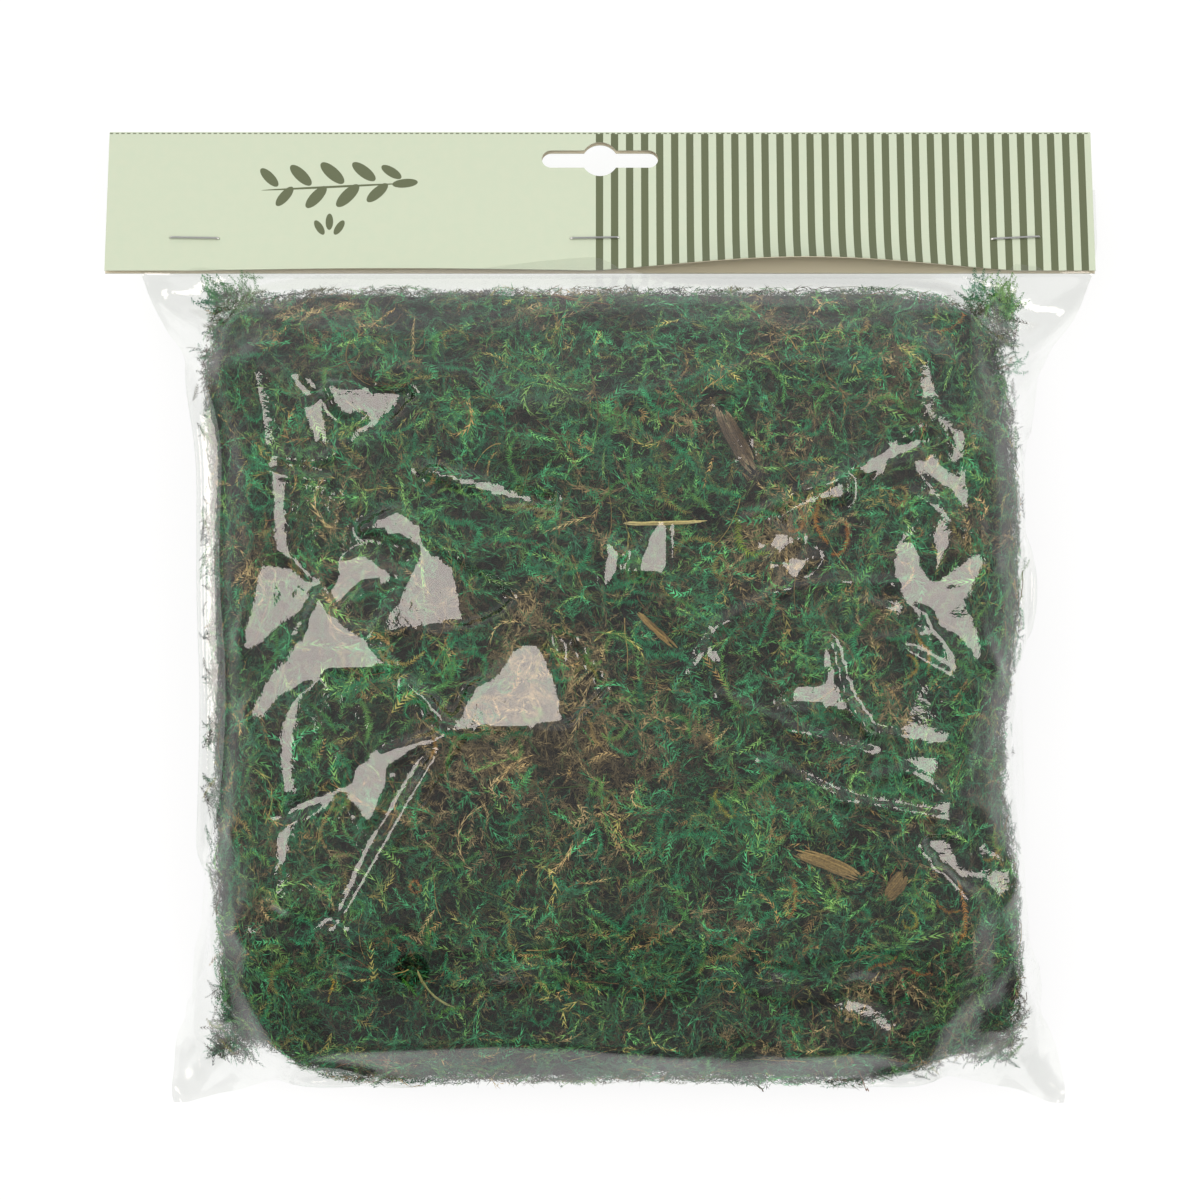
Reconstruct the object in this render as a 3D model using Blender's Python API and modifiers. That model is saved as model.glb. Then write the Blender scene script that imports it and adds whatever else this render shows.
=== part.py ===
"""A clump of dried moss packed in a clear film bag, lying on its back.

The bag's mouth is stapled between the two flaps of a folded header card.
+X runs along the card, +Y towards the card's fold, +Z up from the surface
that the bag lies on. The origin is under the middle of the whole pack.
"""

import math

import bmesh
import bpy
from mathutils import Matrix, Vector, noise

MM = 0.001

# Header card: one sheet folded over the mouth, sloping down from its free edge to its fold.
CARD_WIDTH = 250 * MM
CARD_DEPTH = 38.5 * MM
CARD_THICK = 0.35 * MM
CARD_SLOPE = math.radians(18)
PACK_HALF_LENGTH = 123 * MM
FOLD_HEIGHT = 13 * MM

# Film bag, laid flat at its mouth and at its bottom seam, and full between them.
FILM_THICK = 0.3 * MM
CLEARANCE = 0.3 * MM
SEAM_HALF = FILM_THICK + CLEARANCE / 2
MOUTH_DEPTH_UNDER_FOLD = 16 * MM
BAG_MIDDLE_HEIGHT = 25 * MM
BAG_RING_POINTS = 19
STATION_STEPS = 34
VENT_RADIUS = 4.3 * MM
VENT_PLACE = (-46.5 * MM, -89 * MM)

# Euro slot and the line of three staples, measured down the card from its fold.
SLOT_DOWN = 8.3 * MM
SLOT_LENGTH = 29.6 * MM
SLOT_ARM_RADIUS = 2.4 * MM
SLOT_EYE_RADIUS = 4.7 * MM
STAPLE_DOWN = 29.8 * MM
STAPLE_PLACES = {"left": -102.5 * MM, "middle": -1.3 * MM, "right": 105 * MM}
STAPLE_TURNS = {"left": -1, "middle": 1, "right": 3}
STAPLE_CROWN = 12.8 * MM
STAPLE_WIRE = 0.3 * MM
STAPLE_CLINCH = 4.2 * MM

# Edges and fullness of the bag at distances along +Y: (y, left x, right x, height above the
# middle line, height below it, height of the middle line).
BAG_STATIONS = [
    (85, -116, 124.6, 0, 0, 24),
    (82, -115.5, 124.6, 6, 4, 25),
    (78, -115, 124.4, 13, 9, 25),
    (72, -114, 122.5, 18, 15, 25),
    (64, -112, 112, 22, 20, 25),
    (57, -109, 105.5, 24.5, 24, 25),
    (48, -102, 110, 26.5, 27, 25),
    (27, -102, 111, 28, 28, 25),
    (0, -102, 110.5, 29, 28, 25),
    (-23, -101, 109, 29, 28, 25),
    (-37, -101, 104.5, 29, 28, 25),
    (-55, -101.5, 110.5, 28.5, 28, 25),
    (-76, -101, 115, 26.5, 26, 24),
    (-90, -102, 116, 23, 22, 22),
    (-101, -106, 121, 17, 16, 19),
    (-110, -106, 119, 10, 10, 15),
    (-118, -103, 117, 3, 3, 12),
    (-123, -99, 115, 0, 0, 11),
]

# Moss clump: (y, left x, right x) of its outline.
MOSS_OUTLINE = [
    (82, -99, 102),
    (60, -102, 103),
    (40, -99, 106),
    (0, -99, 107),
    (-37, -98, 102),
    (-70, -98, 107),
    (-116, -97, 108),
]
MOSS_SURFACE_GAP = 1.3 * MM
MOSS_DETAIL = 4
MOSS_BUMP = 1.1 * MM

# Loose bits that lie on the moss, under the film: x and y of the middle, length, width,
# thickness and turn. Each is a flat flake or a round stem.
BITS = {
    "bark_strip": (33.5, 42.5, 19, 4.2, 1.5, -62),
    "wood_chip": (56, -62.5, 17.5, 3.4, 1.2, -22),
    "leaf_flake": (73, -68, 8, 4.2, 0.8, 48),
    "straw_long": (16, 21.5, 21, 0.9, 0.9, 1),
    "straw_flat": (14, -5, 14.5, 1.6, 0.9, -44),
    "straw_bent": (-41.5, -95, 14, 0.9, 0.9, -48),
}
FLAKES = ("bark_strip", "wood_chip", "leaf_flake", "straw_flat")
BIT_GAP = 0.35 * MM
BIT_UNDER_FILM = 0.8 * MM


def start_scene():
    """Empties the scene and returns the collections for the pack and for its cutters."""
    for old in list(bpy.data.objects):
        bpy.data.objects.remove(old, do_unlink=True)
    bpy.context.scene.unit_settings.scale_length = 1.0
    made = []
    for name in ("moss_clump_pack", "cutters"):
        collection = bpy.data.collections.new(name)
        bpy.context.scene.collection.children.link(collection)
        made.append(collection)
    return made


def material(name, colour, roughness, metallic=0.0, alpha=1.0):
    """A Principled material with one colour."""
    made = bpy.data.materials.new(name)
    made.use_nodes = True
    shader = made.node_tree.nodes["Principled BSDF"]
    shader.inputs["Base Color"].default_value = (*colour, 1.0)
    shader.inputs["Roughness"].default_value = roughness
    shader.inputs["Metallic"].default_value = metallic
    shader.inputs["Alpha"].default_value = alpha
    return made


def add_object(name, data, collection, look=None):
    """An object for this mesh or curve, in its collection, with its material."""
    made = bpy.data.objects.new(name, data)
    collection.objects.link(made)
    if look:
        data.materials.append(look)
    return made


def mesh_from(bm, name, smooth_angle=None):
    """The finished mesh of a bmesh, shaded smooth below that angle."""
    bmesh.ops.recalc_face_normals(bm, faces=bm.faces)
    mesh = bpy.data.meshes.new(name)
    bm.to_mesh(mesh)
    bm.free()
    if smooth_angle is not None:
        mesh.shade_smooth()
        mesh.set_sharp_from_angle(angle=math.radians(smooth_angle))
    return mesh


def add_cutter(name, mesh, collection):
    """A hidden helper that Booleans cut with."""
    cutter = add_object(name, mesh, collection)
    cutter.hide_render = True
    cutter.display_type = "WIRE"
    return cutter


def cut(target, cutter):
    """Cuts this cutter's shape from the target."""
    modifier = target.modifiers.new("cut_" + cutter.name, "BOOLEAN")
    modifier.operation = "DIFFERENCE"
    modifier.solver = "EXACT"
    modifier.object = cutter


def between(table, y, column):
    """The table's column at y, eased between its rows, in metres."""
    rows = sorted(table, reverse=True)
    if y >= rows[0][0] * MM:
        return rows[0][column] * MM
    for upper, lower in zip(rows, rows[1:]):
        if y >= lower[0] * MM:
            share = (upper[0] * MM - y) / ((upper[0] - lower[0]) * MM)
            return (upper[column] * (1 - share) + lower[column] * share) * MM
    return rows[-1][column] * MM


def card_frame():
    """Carries the card's own axes (along, towards the fold, out of the front) into place."""
    fold = Vector((0, PACK_HALF_LENGTH - card_outer(), FOLD_HEIGHT))
    return Matrix.Translation(fold) @ Matrix.Rotation(-CARD_SLOPE, 4, "X")


def card_outer():
    """Distance of the card's outer face from the middle of the stack."""
    return SEAM_HALF + CLEARANCE + CARD_THICK


def card_line_height(y):
    """Height of the middle of the stack at y, under the card."""
    fold_y = PACK_HALF_LENGTH - card_outer()
    return FOLD_HEIGHT + (fold_y - y) * math.tan(CARD_SLOPE)


def bag_section(y):
    """(left x, right x, height above, height below, middle height) of the bag at y."""
    free_edge = BAG_STATIONS[0][0] * MM
    found = [between(BAG_STATIONS, y, column) for column in range(1, 6)]
    if y >= free_edge:
        found[4] = card_line_height(y)
    else:
        lift = card_line_height(free_edge) - BAG_STATIONS[0][5] * MM
        found[4] += lift * max(0.0, 1 - (free_edge - y) / (12 * MM))
    return found


def fullness(share):
    """How full the bag is across its width, from 0 at a side seam to 1 in the middle."""
    return (1 - min(1.0, abs(share)) ** 5) ** (1 / 2.2)


def film_heights(x, y):
    """Heights of the bag's outer face above and below this place."""
    left, right, above, below, middle = bag_section(y)
    share = (2 * x - left - right) / (right - left)
    full = fullness(share)
    upper = middle + SEAM_HALF + above * full
    lower = max(0.0, middle - SEAM_HALF - below * full)
    return upper, lower


def make_bag(collection, look):
    """The bag as an open-mouthed loft of rings, with Solidify for the film's thickness."""
    mouth = PACK_HALF_LENGTH - card_outer() - MOUTH_DEPTH_UNDER_FOLD * math.cos(CARD_SLOPE)
    free_edge = BAG_STATIONS[0][0] * MM
    bottom = BAG_STATIONS[-1][0] * MM
    along = [mouth, (mouth + free_edge) / 2]
    for step in range(STATION_STEPS + 1):
        # Cosine spacing sets the stations closer where the bag closes at both ends.
        turn = math.pi * step / STATION_STEPS
        even = step / STATION_STEPS
        share = 0.6 * (1 - math.cos(turn)) / 2 + 0.4 * even
        along.append(free_edge + (bottom - free_edge) * share)
    bm = bmesh.new()
    rings = []
    for y in along:
        left, right = bag_section(y)[:2]
        ring = []
        shares = [math.sin(math.pi * (i / (BAG_RING_POINTS - 1) - 0.5)) for i in range(BAG_RING_POINTS)]
        for share in shares:
            x = (left + right) / 2 + share * (right - left) / 2
            ring.append(bm.verts.new((x, y, film_heights(x, y)[0])))
        for share in reversed(shares):
            x = (left + right) / 2 + share * (right - left) / 2
            ring.append(bm.verts.new((x, y, film_heights(x, y)[1])))
        rings.append(ring)
    for first, second in zip(rings, rings[1:]):
        for i, corner in enumerate(first):
            j = (i + 1) % len(first)
            bm.faces.new((corner, first[j], second[j], second[i]))
    last = rings[-1]
    for i in range(BAG_RING_POINTS - 1):
        bm.faces.new((last[i], last[i + 1], last[-2 - i], last[-1 - i]))
    bag = add_object("bag", mesh_from(bm, "bag", smooth_angle=50), collection, look)
    wall = bag.modifiers.new("film_wall", "SOLIDIFY")
    wall.thickness = FILM_THICK
    wall.offset = -1
    wall.use_even_offset = True
    return bag


def make_header(collection, look):
    """The folded card: an open U drawn along its middle surface, thickened to both sides."""
    bm = bmesh.new()
    half = SEAM_HALF + CLEARANCE + CARD_THICK / 2
    profile = [Vector((0, -CARD_DEPTH, half)), Vector((0, 0, half))]
    for step in range(1, 8):
        turn = math.pi * step / 8
        profile.append(Vector((0, half * math.sin(turn), half * math.cos(turn))))
    profile += [Vector((0, 0, -half)), Vector((0, -CARD_DEPTH, -half))]
    line = [bm.verts.new(point + Vector((-CARD_WIDTH / 2, 0, 0))) for point in profile]
    edges = [bm.edges.new(pair) for pair in zip(line, line[1:])]
    swept = bmesh.ops.extrude_edge_only(bm, edges=edges)
    ends = [v for v in swept["geom"] if isinstance(v, bmesh.types.BMVert)]
    bmesh.ops.translate(bm, verts=ends, vec=(CARD_WIDTH, 0, 0))
    card = add_object("header_card", mesh_from(bm, "header_card", smooth_angle=40), collection, look)
    card.matrix_world = card_frame()
    wall = card.modifiers.new("card_wall", "SOLIDIFY")
    wall.thickness = CARD_THICK
    wall.offset = 0
    wall.use_even_offset = True
    return card


def slot_cutter(collection):
    """The euro slot: a round eye in the middle of a long slot with round ends."""
    eye_start = math.acos(SLOT_ARM_RADIUS / SLOT_EYE_RADIUS)
    reach = SLOT_LENGTH / 2 - SLOT_ARM_RADIUS
    outline = []
    for side in (1, -1):
        # The eye's arc over one side, then the round end of the next arm.
        for step in range(9):
            turn = -eye_start + 2 * eye_start * step / 8
            across, up = SLOT_EYE_RADIUS * math.sin(turn), SLOT_EYE_RADIUS * math.cos(turn)
            outline.append((side * across, side * up))
        for step in range(7):
            turn = math.pi / 2 - math.pi * step / 6
            across, up = SLOT_ARM_RADIUS * math.cos(turn), SLOT_ARM_RADIUS * math.sin(turn)
            outline.append((side * (reach + across), side * up))
    depth = 6 * MM
    bm = bmesh.new()
    corners = [bm.verts.new((x, y - SLOT_DOWN, -depth)) for x, y in outline]
    face = bm.faces.new(corners)
    swept = bmesh.ops.extrude_face_region(bm, geom=[face])
    top = [v for v in swept["geom"] if isinstance(v, bmesh.types.BMVert)]
    bmesh.ops.translate(bm, verts=top, vec=(0, 0, 2 * depth))
    cutter = add_cutter("slot_cutter", mesh_from(bm, "slot_cutter"), collection)
    cutter.matrix_world = card_frame()
    return cutter


def rod_cutter(name, radius, length, place, collection):
    """An upright rod about this place."""
    bm = bmesh.new()
    bmesh.ops.create_cone(
        bm, cap_ends=True, segments=16, radius1=radius, radius2=radius, depth=length, matrix=place
    )
    return add_cutter(name, mesh_from(bm, name), collection)


def staple_place(name):
    """Where a staple's middle is, turned as it was driven, in the card's axes."""
    turn = Matrix.Rotation(math.radians(STAPLE_TURNS[name]), 4, "Z")
    return card_frame() @ Matrix.Translation((STAPLE_PLACES[name], -STAPLE_DOWN, 0)) @ turn


def make_staple(name, collection, look):
    """A wire staple: crown on the front, legs through the stack, ends clinched behind."""
    crown_height = card_outer() + STAPLE_WIRE + 0.2 * MM
    leg = STAPLE_CROWN / 2 - STAPLE_WIRE
    bend = 0.45 * MM
    half = [
        (0, crown_height),
        (leg - bend, crown_height),
        (leg - 0.3 * bend, crown_height - 0.3 * bend),
        (leg, crown_height - bend),
        (leg, -crown_height + bend),
        (leg - 0.3 * bend, -crown_height + 0.3 * bend),
        (leg - bend, -crown_height),
        (leg - STAPLE_CLINCH, -crown_height - 0.1 * MM),
    ]
    route = [(-x, z) for x, z in reversed(half[1:])] + half
    curve = bpy.data.curves.new("staple_" + name, "CURVE")
    curve.dimensions = "3D"
    curve.bevel_depth = STAPLE_WIRE
    curve.bevel_resolution = 2
    curve.use_fill_caps = True
    spline = curve.splines.new("POLY")
    spline.points.add(len(route) - 1)
    for point, (x, z) in zip(spline.points, route):
        point.co = (x, 0, z, 1)
    staple = add_object("staple_" + name, curve, collection, look)
    staple.matrix_world = staple_place(name)
    return staple


def cut_staple_holes(bag, card, collection):
    """Each leg passes through both flaps and both films."""
    leg = STAPLE_CROWN / 2 - STAPLE_WIRE
    for name in STAPLE_PLACES:
        for side in (-1, 1):
            place = staple_place(name) @ Matrix.Translation((side * leg, 0, 0))
            label = f"leg_cutter_{name}_{'left' if side < 0 else 'right'}"
            cutter = rod_cutter(label, STAPLE_WIRE + 0.25 * MM, 8 * MM, place, collection)
            cut(bag, cutter)
            cut(card, cutter)


def moss_place(direction):
    """The point of the moss clump's outer face in this direction from its middle."""
    top, bottom = MOSS_OUTLINE[0][0] * MM, MOSS_OUTLINE[-1][0] * MM
    flat = math.hypot(direction.x, direction.y)
    corner = (abs(direction.x) ** 12 + abs(direction.y) ** 12) ** (1 / 12)
    squared = flat / corner if corner > 1e-9 else 1.0
    across, along = direction.x * squared, direction.y * squared
    y = (top + bottom) / 2 + along * (top - bottom) / 2
    left, right = (between(MOSS_OUTLINE, y, column) for column in (1, 2))
    x = (left + right) / 2 + across * (right - left) / 2
    upper, lower = film_heights(x * 1.012, y * 1.008)
    middle = (upper + lower) / 2
    round_off = max(0.0, 1 - min(1.0, flat) ** 12) ** 0.4
    bumps = MOSS_BUMP * (noise.noise(Vector((x, y, direction.z * 30 * MM)) * 90) - 0.6)
    height = (upper - lower) / 2 - MOSS_SURFACE_GAP + (bumps if direction.z > 0 else 0)
    return Vector((x, y, middle + math.copysign(max(0.0, height) * round_off, direction.z)))


def make_moss(collection, look):
    """The pressed clump, which fills the bag out to the tips of its fronds."""
    bm = bmesh.new()
    bmesh.ops.create_icosphere(bm, subdivisions=MOSS_DETAIL, radius=1)
    for vert in bm.verts:
        vert.co = moss_place(vert.co.normalized())
    return add_object("moss_clump", mesh_from(bm, "moss_clump", smooth_angle=60), collection, look)


def bit_frame(name):
    """Where a loose bit lies: on the moss, tilted with the film over it."""
    x, y, length, width, thick, turn = BITS[name]
    x, y = x * MM, y * MM
    step = 3 * MM
    slope_x = (film_heights(x + step, y)[0] - film_heights(x - step, y)[0]) / (2 * step)
    slope_y = (film_heights(x, y + step)[0] - film_heights(x, y - step)[0]) / (2 * step)
    up = Vector((-slope_x, -slope_y, 1)).normalized()
    ahead = Matrix.Rotation(math.radians(turn), 3, "Z") @ Vector((1, 0, 0))
    side = up.cross(ahead).normalized()
    ahead = side.cross(up)
    frame = Matrix((ahead, side, up)).transposed().to_4x4()
    # The bit sinks until its highest corner clears the film.
    height = math.inf
    for i in (-1, -0.5, 0, 0.5, 1):
        for j in (-1, 1):
            corner = ahead * i * length * MM / 2 + side * j * width * MM / 2 + up * thick * MM / 2
            film = film_heights(x + corner.x, y + corner.y)[0] - FILM_THICK
            height = min(height, film - BIT_UNDER_FILM - corner.z)
    return Matrix.Translation((x, y, height)) @ frame


def flake_mesh(name, grow=0.0):
    """A flake split along its grain: a thin slab, bowed, with a ragged outline."""
    length, width, thick = (size * MM for size in BITS[name][2:5])
    bow = {"bark_strip": 1.6 * MM, "leaf_flake": 0.6 * MM}.get(name, 0.0)
    bm = bmesh.new()
    bmesh.ops.create_cube(bm, size=1)
    bmesh.ops.scale(bm, verts=bm.verts, vec=(length, width, thick))
    along = [e for e in bm.edges if abs(e.verts[0].co.x - e.verts[1].co.x) > length / 2]
    bmesh.ops.subdivide_edges(bm, edges=along, cuts=7, use_grid_fill=True)
    for vert in bm.verts:
        share = 2 * vert.co.x / length
        side = math.copysign(1, vert.co.y)
        ragged = 0.16 * noise.noise(Vector((7 * share, 3 * side, len(name))))
        taper = 1 - 0.45 * abs(share) ** 3 if name == "leaf_flake" else 1 - 0.15 * share**2
        vert.co.y *= taper + ragged
        vert.co.y += bow * (1 - share**2) - bow / 2
    if grow:
        bmesh.ops.recalc_face_normals(bm, faces=bm.faces)
        for vert in bm.verts:
            vert.co += Vector([math.copysign(grow, value) for value in vert.co])
    return mesh_from(bm, name, smooth_angle=40)


def stem_mesh(name, grow=0.0):
    """A round straw, slightly bowed."""
    length, width = (size * MM for size in BITS[name][2:4])
    bow = 1.5 * MM if name == "straw_bent" else 0.25 * MM
    bm = bmesh.new()
    bmesh.ops.create_cone(
        bm,
        cap_ends=True,
        segments=8,
        radius1=width / 2 + grow,
        radius2=width / 2.6 + grow,
        depth=length + 2 * grow,
        matrix=Matrix.Rotation(math.radians(90), 4, "Y"),
    )
    sides = [e for e in bm.edges if abs(e.verts[0].co.x - e.verts[1].co.x) > length / 2]
    bmesh.ops.subdivide_edges(bm, edges=sides, cuts=6, use_grid_fill=True)
    for vert in bm.verts:
        vert.co.y += bow * (1 - (2 * vert.co.x / length) ** 2)
    return mesh_from(bm, name, smooth_angle=40)


def make_bits(moss, looks, collection, cutters):
    """The loose bits, each in a groove of the moss a little larger than itself."""
    for name in BITS:
        shape = flake_mesh if name in FLAKES else stem_mesh
        bit = add_object(name, shape(name), collection, looks[name])
        bit.matrix_world = bit_frame(name)
        groove = add_cutter("groove_" + name, shape(name, BIT_GAP), cutters)
        groove.matrix_world = bit_frame(name)
        cut(moss, groove)


def main():
    pack, cutters = start_scene()
    clear_film = material("clear_film", (0.9, 0.92, 0.9), 0.08, alpha=0.25)
    printed_card = material("printed_card", (0.70, 0.77, 0.60), 0.55)
    steel_wire = material("steel_wire", (0.62, 0.62, 0.64), 0.3, metallic=1.0)
    dried_moss = material("dried_moss", (0.03, 0.10, 0.04), 0.9)
    bark = material("bark", (0.10, 0.07, 0.045), 0.85)
    dry_wood = material("dry_wood", (0.42, 0.34, 0.17), 0.7)
    dry_leaf = material("dry_leaf", (0.24, 0.18, 0.10), 0.8)
    straw = material("straw", (0.40, 0.42, 0.16), 0.6)

    bag = make_bag(pack, clear_film)
    card = make_header(pack, printed_card)
    cut(card, slot_cutter(cutters))
    vent = Matrix.Translation((*VENT_PLACE, BAG_MIDDLE_HEIGHT + 30 * MM))
    cut(bag, rod_cutter("vent_cutter", VENT_RADIUS, 50 * MM, vent, cutters))
    cut_staple_holes(bag, card, cutters)
    for name in STAPLE_PLACES:
        make_staple(name, pack, steel_wire)
    moss = make_moss(pack, dried_moss)
    looks = {name: straw for name in BITS}
    looks.update(bark_strip=bark, wood_chip=dry_wood, leaf_flake=dry_leaf)
    make_bits(moss, looks, pack, cutters)


main()
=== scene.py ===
import math

import bmesh
import bpy
import numpy as np
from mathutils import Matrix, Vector, noise
from mathutils.bvhtree import BVHTree
from mathutils.kdtree import KDTree


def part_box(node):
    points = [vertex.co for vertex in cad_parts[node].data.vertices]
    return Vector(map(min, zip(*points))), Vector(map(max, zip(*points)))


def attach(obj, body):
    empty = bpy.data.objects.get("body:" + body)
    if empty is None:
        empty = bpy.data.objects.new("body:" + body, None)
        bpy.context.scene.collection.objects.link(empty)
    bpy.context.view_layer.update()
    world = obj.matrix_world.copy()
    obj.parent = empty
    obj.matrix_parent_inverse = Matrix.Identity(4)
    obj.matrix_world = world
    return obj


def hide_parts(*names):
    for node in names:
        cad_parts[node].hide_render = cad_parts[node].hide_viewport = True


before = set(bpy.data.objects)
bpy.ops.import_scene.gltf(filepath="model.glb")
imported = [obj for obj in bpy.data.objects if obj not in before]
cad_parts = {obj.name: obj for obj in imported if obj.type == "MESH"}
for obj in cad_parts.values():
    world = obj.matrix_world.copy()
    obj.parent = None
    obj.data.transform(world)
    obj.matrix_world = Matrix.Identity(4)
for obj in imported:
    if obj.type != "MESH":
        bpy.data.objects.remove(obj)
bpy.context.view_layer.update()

MM = 0.001

# --- Studio: a pale floor under the pack, a pale room and soft boxes, and a camera straight above.
# The card spans a set share of the picture's width, which gives the camera its distance.
CARD_SHARE = 0.8208
LENS, SENSOR = 130, 36
# The room's light by height, from the horizon to straight above.
SKY = [(0.0, 0.60), (0.30, 0.34), (0.70, 0.36), (0.85, 0.46), (1.0, 0.31)]


def linear(hex_colour):
    """An sRGB hex colour as linear red, green, blue and alpha."""
    parts = [int(hex_colour[i : i + 2], 16) / 255 for i in (0, 2, 4)]
    return [c / 12.92 if c <= 0.04045 else ((c + 0.055) / 1.055) ** 2.4 for c in parts] + [1.0]


def add_node(tree, kind, settings=(), **links):
    """Adds a node; a link is a value or another node's output, by input name or _index."""
    made = tree.nodes.new(kind)
    for name, value in dict(settings).items():
        setattr(made, name, value)
    for name, value in links.items():
        target = made.inputs[int(name[1:])] if name[1:].isdigit() else made.inputs[name.replace("_", " ")]
        if isinstance(value, bpy.types.NodeSocket):
            tree.links.new(value, target)
        else:
            target.default_value = value
    return made


def new_material(name):
    """An empty material and its tree."""
    made = bpy.data.materials.new(name)
    made.use_nodes = True
    made.node_tree.nodes.clear()
    return made, made.node_tree


scene = bpy.context.scene
scene.view_settings.view_transform = "Standard"
card_low, card_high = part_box("header_card")
card_width = card_high.x - card_low.x
card_plane = (card_low.z + card_high.z) / 2
picture_width = card_width / CARD_SHARE
camera_data = bpy.data.cameras.new("camera")
camera_data.lens, camera_data.sensor_width = LENS, SENSOR
camera_data.clip_start, camera_data.clip_end = 0.05, 20
camera = bpy.data.objects.new("camera", camera_data)
camera.location = (0, 2.5 * MM, card_plane + picture_width * LENS / SENSOR)
scene.collection.objects.link(camera)
scene.camera = camera

bm = bmesh.new()
bmesh.ops.create_grid(bm, x_segments=1, y_segments=1, size=3)
floor_mesh = bpy.data.meshes.new("floor")
bm.to_mesh(floor_mesh)
bm.free()
floor = bpy.data.objects.new("floor", floor_mesh)
scene.collection.objects.link(floor)
floor.location.z = -0.3 * MM
paper, tree = new_material("white_paper_sweep")
shade = add_node(tree, "ShaderNodeBsdfPrincipled", Base_Color=linear("7C7C7C"), Roughness=1.0)
# The sheet is lit from below too, as on a light table, and less so away from its middle.
place = add_node(tree, "ShaderNodeTexCoord").outputs["Object"]
away = add_node(tree, "ShaderNodeVectorMath", {"operation": "LENGTH"}, _0=place).outputs["Value"]
glow = add_node(tree, "ShaderNodeMapRange", Value=away, _1=0.215, _2=0.45, _3=0.82, _4=0.5)
shade.inputs["Emission Color"].default_value = (1, 1, 1, 1)
tree.links.new(glow.outputs[0], shade.inputs["Emission Strength"])
shade.inputs["Specular IOR Level"].default_value = 0.0
add_node(tree, "ShaderNodeOutputMaterial", Surface=shade.outputs[0])
floor_mesh.materials.append(paper)

world = bpy.data.worlds.new("studio")
scene.world = world
world.use_nodes = True
tree = world.node_tree
tree.nodes.clear()
direction = add_node(tree, "ShaderNodeTexCoord")
height = add_node(tree, "ShaderNodeSeparateXYZ", _0=direction.outputs["Generated"])
sky = add_node(tree, "ShaderNodeValToRGB", _0=height.outputs["Z"])
while len(sky.color_ramp.elements) < len(SKY):
    sky.color_ramp.elements.new(0.5)
for element, (position, radiance) in zip(sky.color_ramp.elements, SKY):
    element.position = position
    element.color = (radiance, radiance, radiance, 1)
# The room is brighter on the header's side.
side = add_node(tree, "ShaderNodeMapRange", Value=height.outputs["Y"], _1=-0.7, _2=0.7, _3=0.5, _4=1.5)
light = add_node(tree, "ShaderNodeBackground", Color=sky.outputs[0], Strength=side.outputs[0])
add_node(tree, "ShaderNodeOutputWorld", Surface=light.outputs[0])

SOFT_BOXES = {
    "soft_box_left": ((-0.76, -0.05, 1.10), (0.50, 0.60), 3.4),
    "soft_box_right": ((0.76, 0.15, 1.10), (0.50, 0.60), 3.4),
}
for name, (place, size, radiance) in SOFT_BOXES.items():
    data = bpy.data.lights.new(name, "AREA")
    data.shape = "RECTANGLE"
    data.size, data.size_y = size
    data.color = (1.0, 0.9, 0.84)
    data.energy = radiance * math.pi * size[0] * size[1]
    lamp = bpy.data.objects.new(name, data)
    lamp.location = place
    lamp.rotation_euler = (Vector((0, 0, 0.03)) - Vector(place)).to_track_quat("-Z", "Y").to_euler()
    scene.collection.objects.link(lamp)
# Two broad lights, polarised so that they leave no shine on the film.
BROAD_LIGHTS = {"key_light": ((0.45, -0.42, -0.8), 1.3), "fill_light": ((-0.5, 0.25, -0.8), 0.95)}
for name, (toward, strength) in BROAD_LIGHTS.items():
    data = bpy.data.lights.new(name, "SUN")
    data.energy = strength
    data.angle = math.radians(50)
    lamp = bpy.data.objects.new(name, data)
    lamp.rotation_euler = Vector(toward).to_track_quat("-Z", "Y").to_euler()
    lamp.visible_glossy = False
    scene.collection.objects.link(lamp)

# --- Moss clump: a pad of dried feather moss, dyed green and pressed square.
# Under the fronds lies a felt of broken stems, which shows only in the gaps; its near-black colour is the
# stems' dark brown deepened into painted shade for those gaps.
FELT_DEPTH = 3.0
STEP = 1.0
GRID_HALF = 130.0
FROND_ROOM = 1.3
# The clump's lower edge swells this far beyond the CAD's rounding, from this place down.
LOWER_EDGE = 9.0
LOWER_EDGE_FROM = -96.0


def add_piece(name, mesh, material, slot, *nodes):
    """A finished piece on the pack's body that stands for these CAD nodes."""
    made = bpy.data.objects.new(name, mesh)
    scene.collection.objects.link(made)
    mesh.materials.append(material)
    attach(made, "root")
    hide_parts(*nodes)
    return made


def welded(node, grow=0.0):
    """A CAD node's corners, welded and moved out by so many mm, and more along the clump's lower edge."""
    found = bmesh.new()
    found.from_mesh(node.data)
    bmesh.ops.remove_doubles(found, verts=found.verts, dist=0.02 * MM)
    bmesh.ops.triangulate(found, faces=found.faces)
    found.normal_update()
    for vert in found.verts:
        shoulder = math.exp(-(((vert.normal.z - 0.68) / 0.24) ** 2))
        shoulder *= min(max(-vert.normal.y * 1.6, 0.0), 1.0)
        shoulder *= min(max((LOWER_EDGE_FROM - vert.co.y / MM) / 6, 0.0), 1.0)
        vert.co += vert.normal * (grow + LOWER_EDGE * shoulder) * MM
    return found


def heights_of(surface, from_above):
    """Heights in mm of a surface's top or underside on a square grid, NaN beside it."""
    places = np.arange(-GRID_HALF, GRID_HALF + STEP / 2, STEP)
    found = np.full((len(places), len(places)), np.nan)
    start, down = (0.2, -1) if from_above else (-0.2, 1)
    for row, y in enumerate(places):
        for column, x in enumerate(places):
            hit = surface.ray_cast(Vector((x * MM, y * MM, start)), Vector((0, 0, down)))[0]
            if hit:
                found[row, column] = hit.z / MM
    return found


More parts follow.
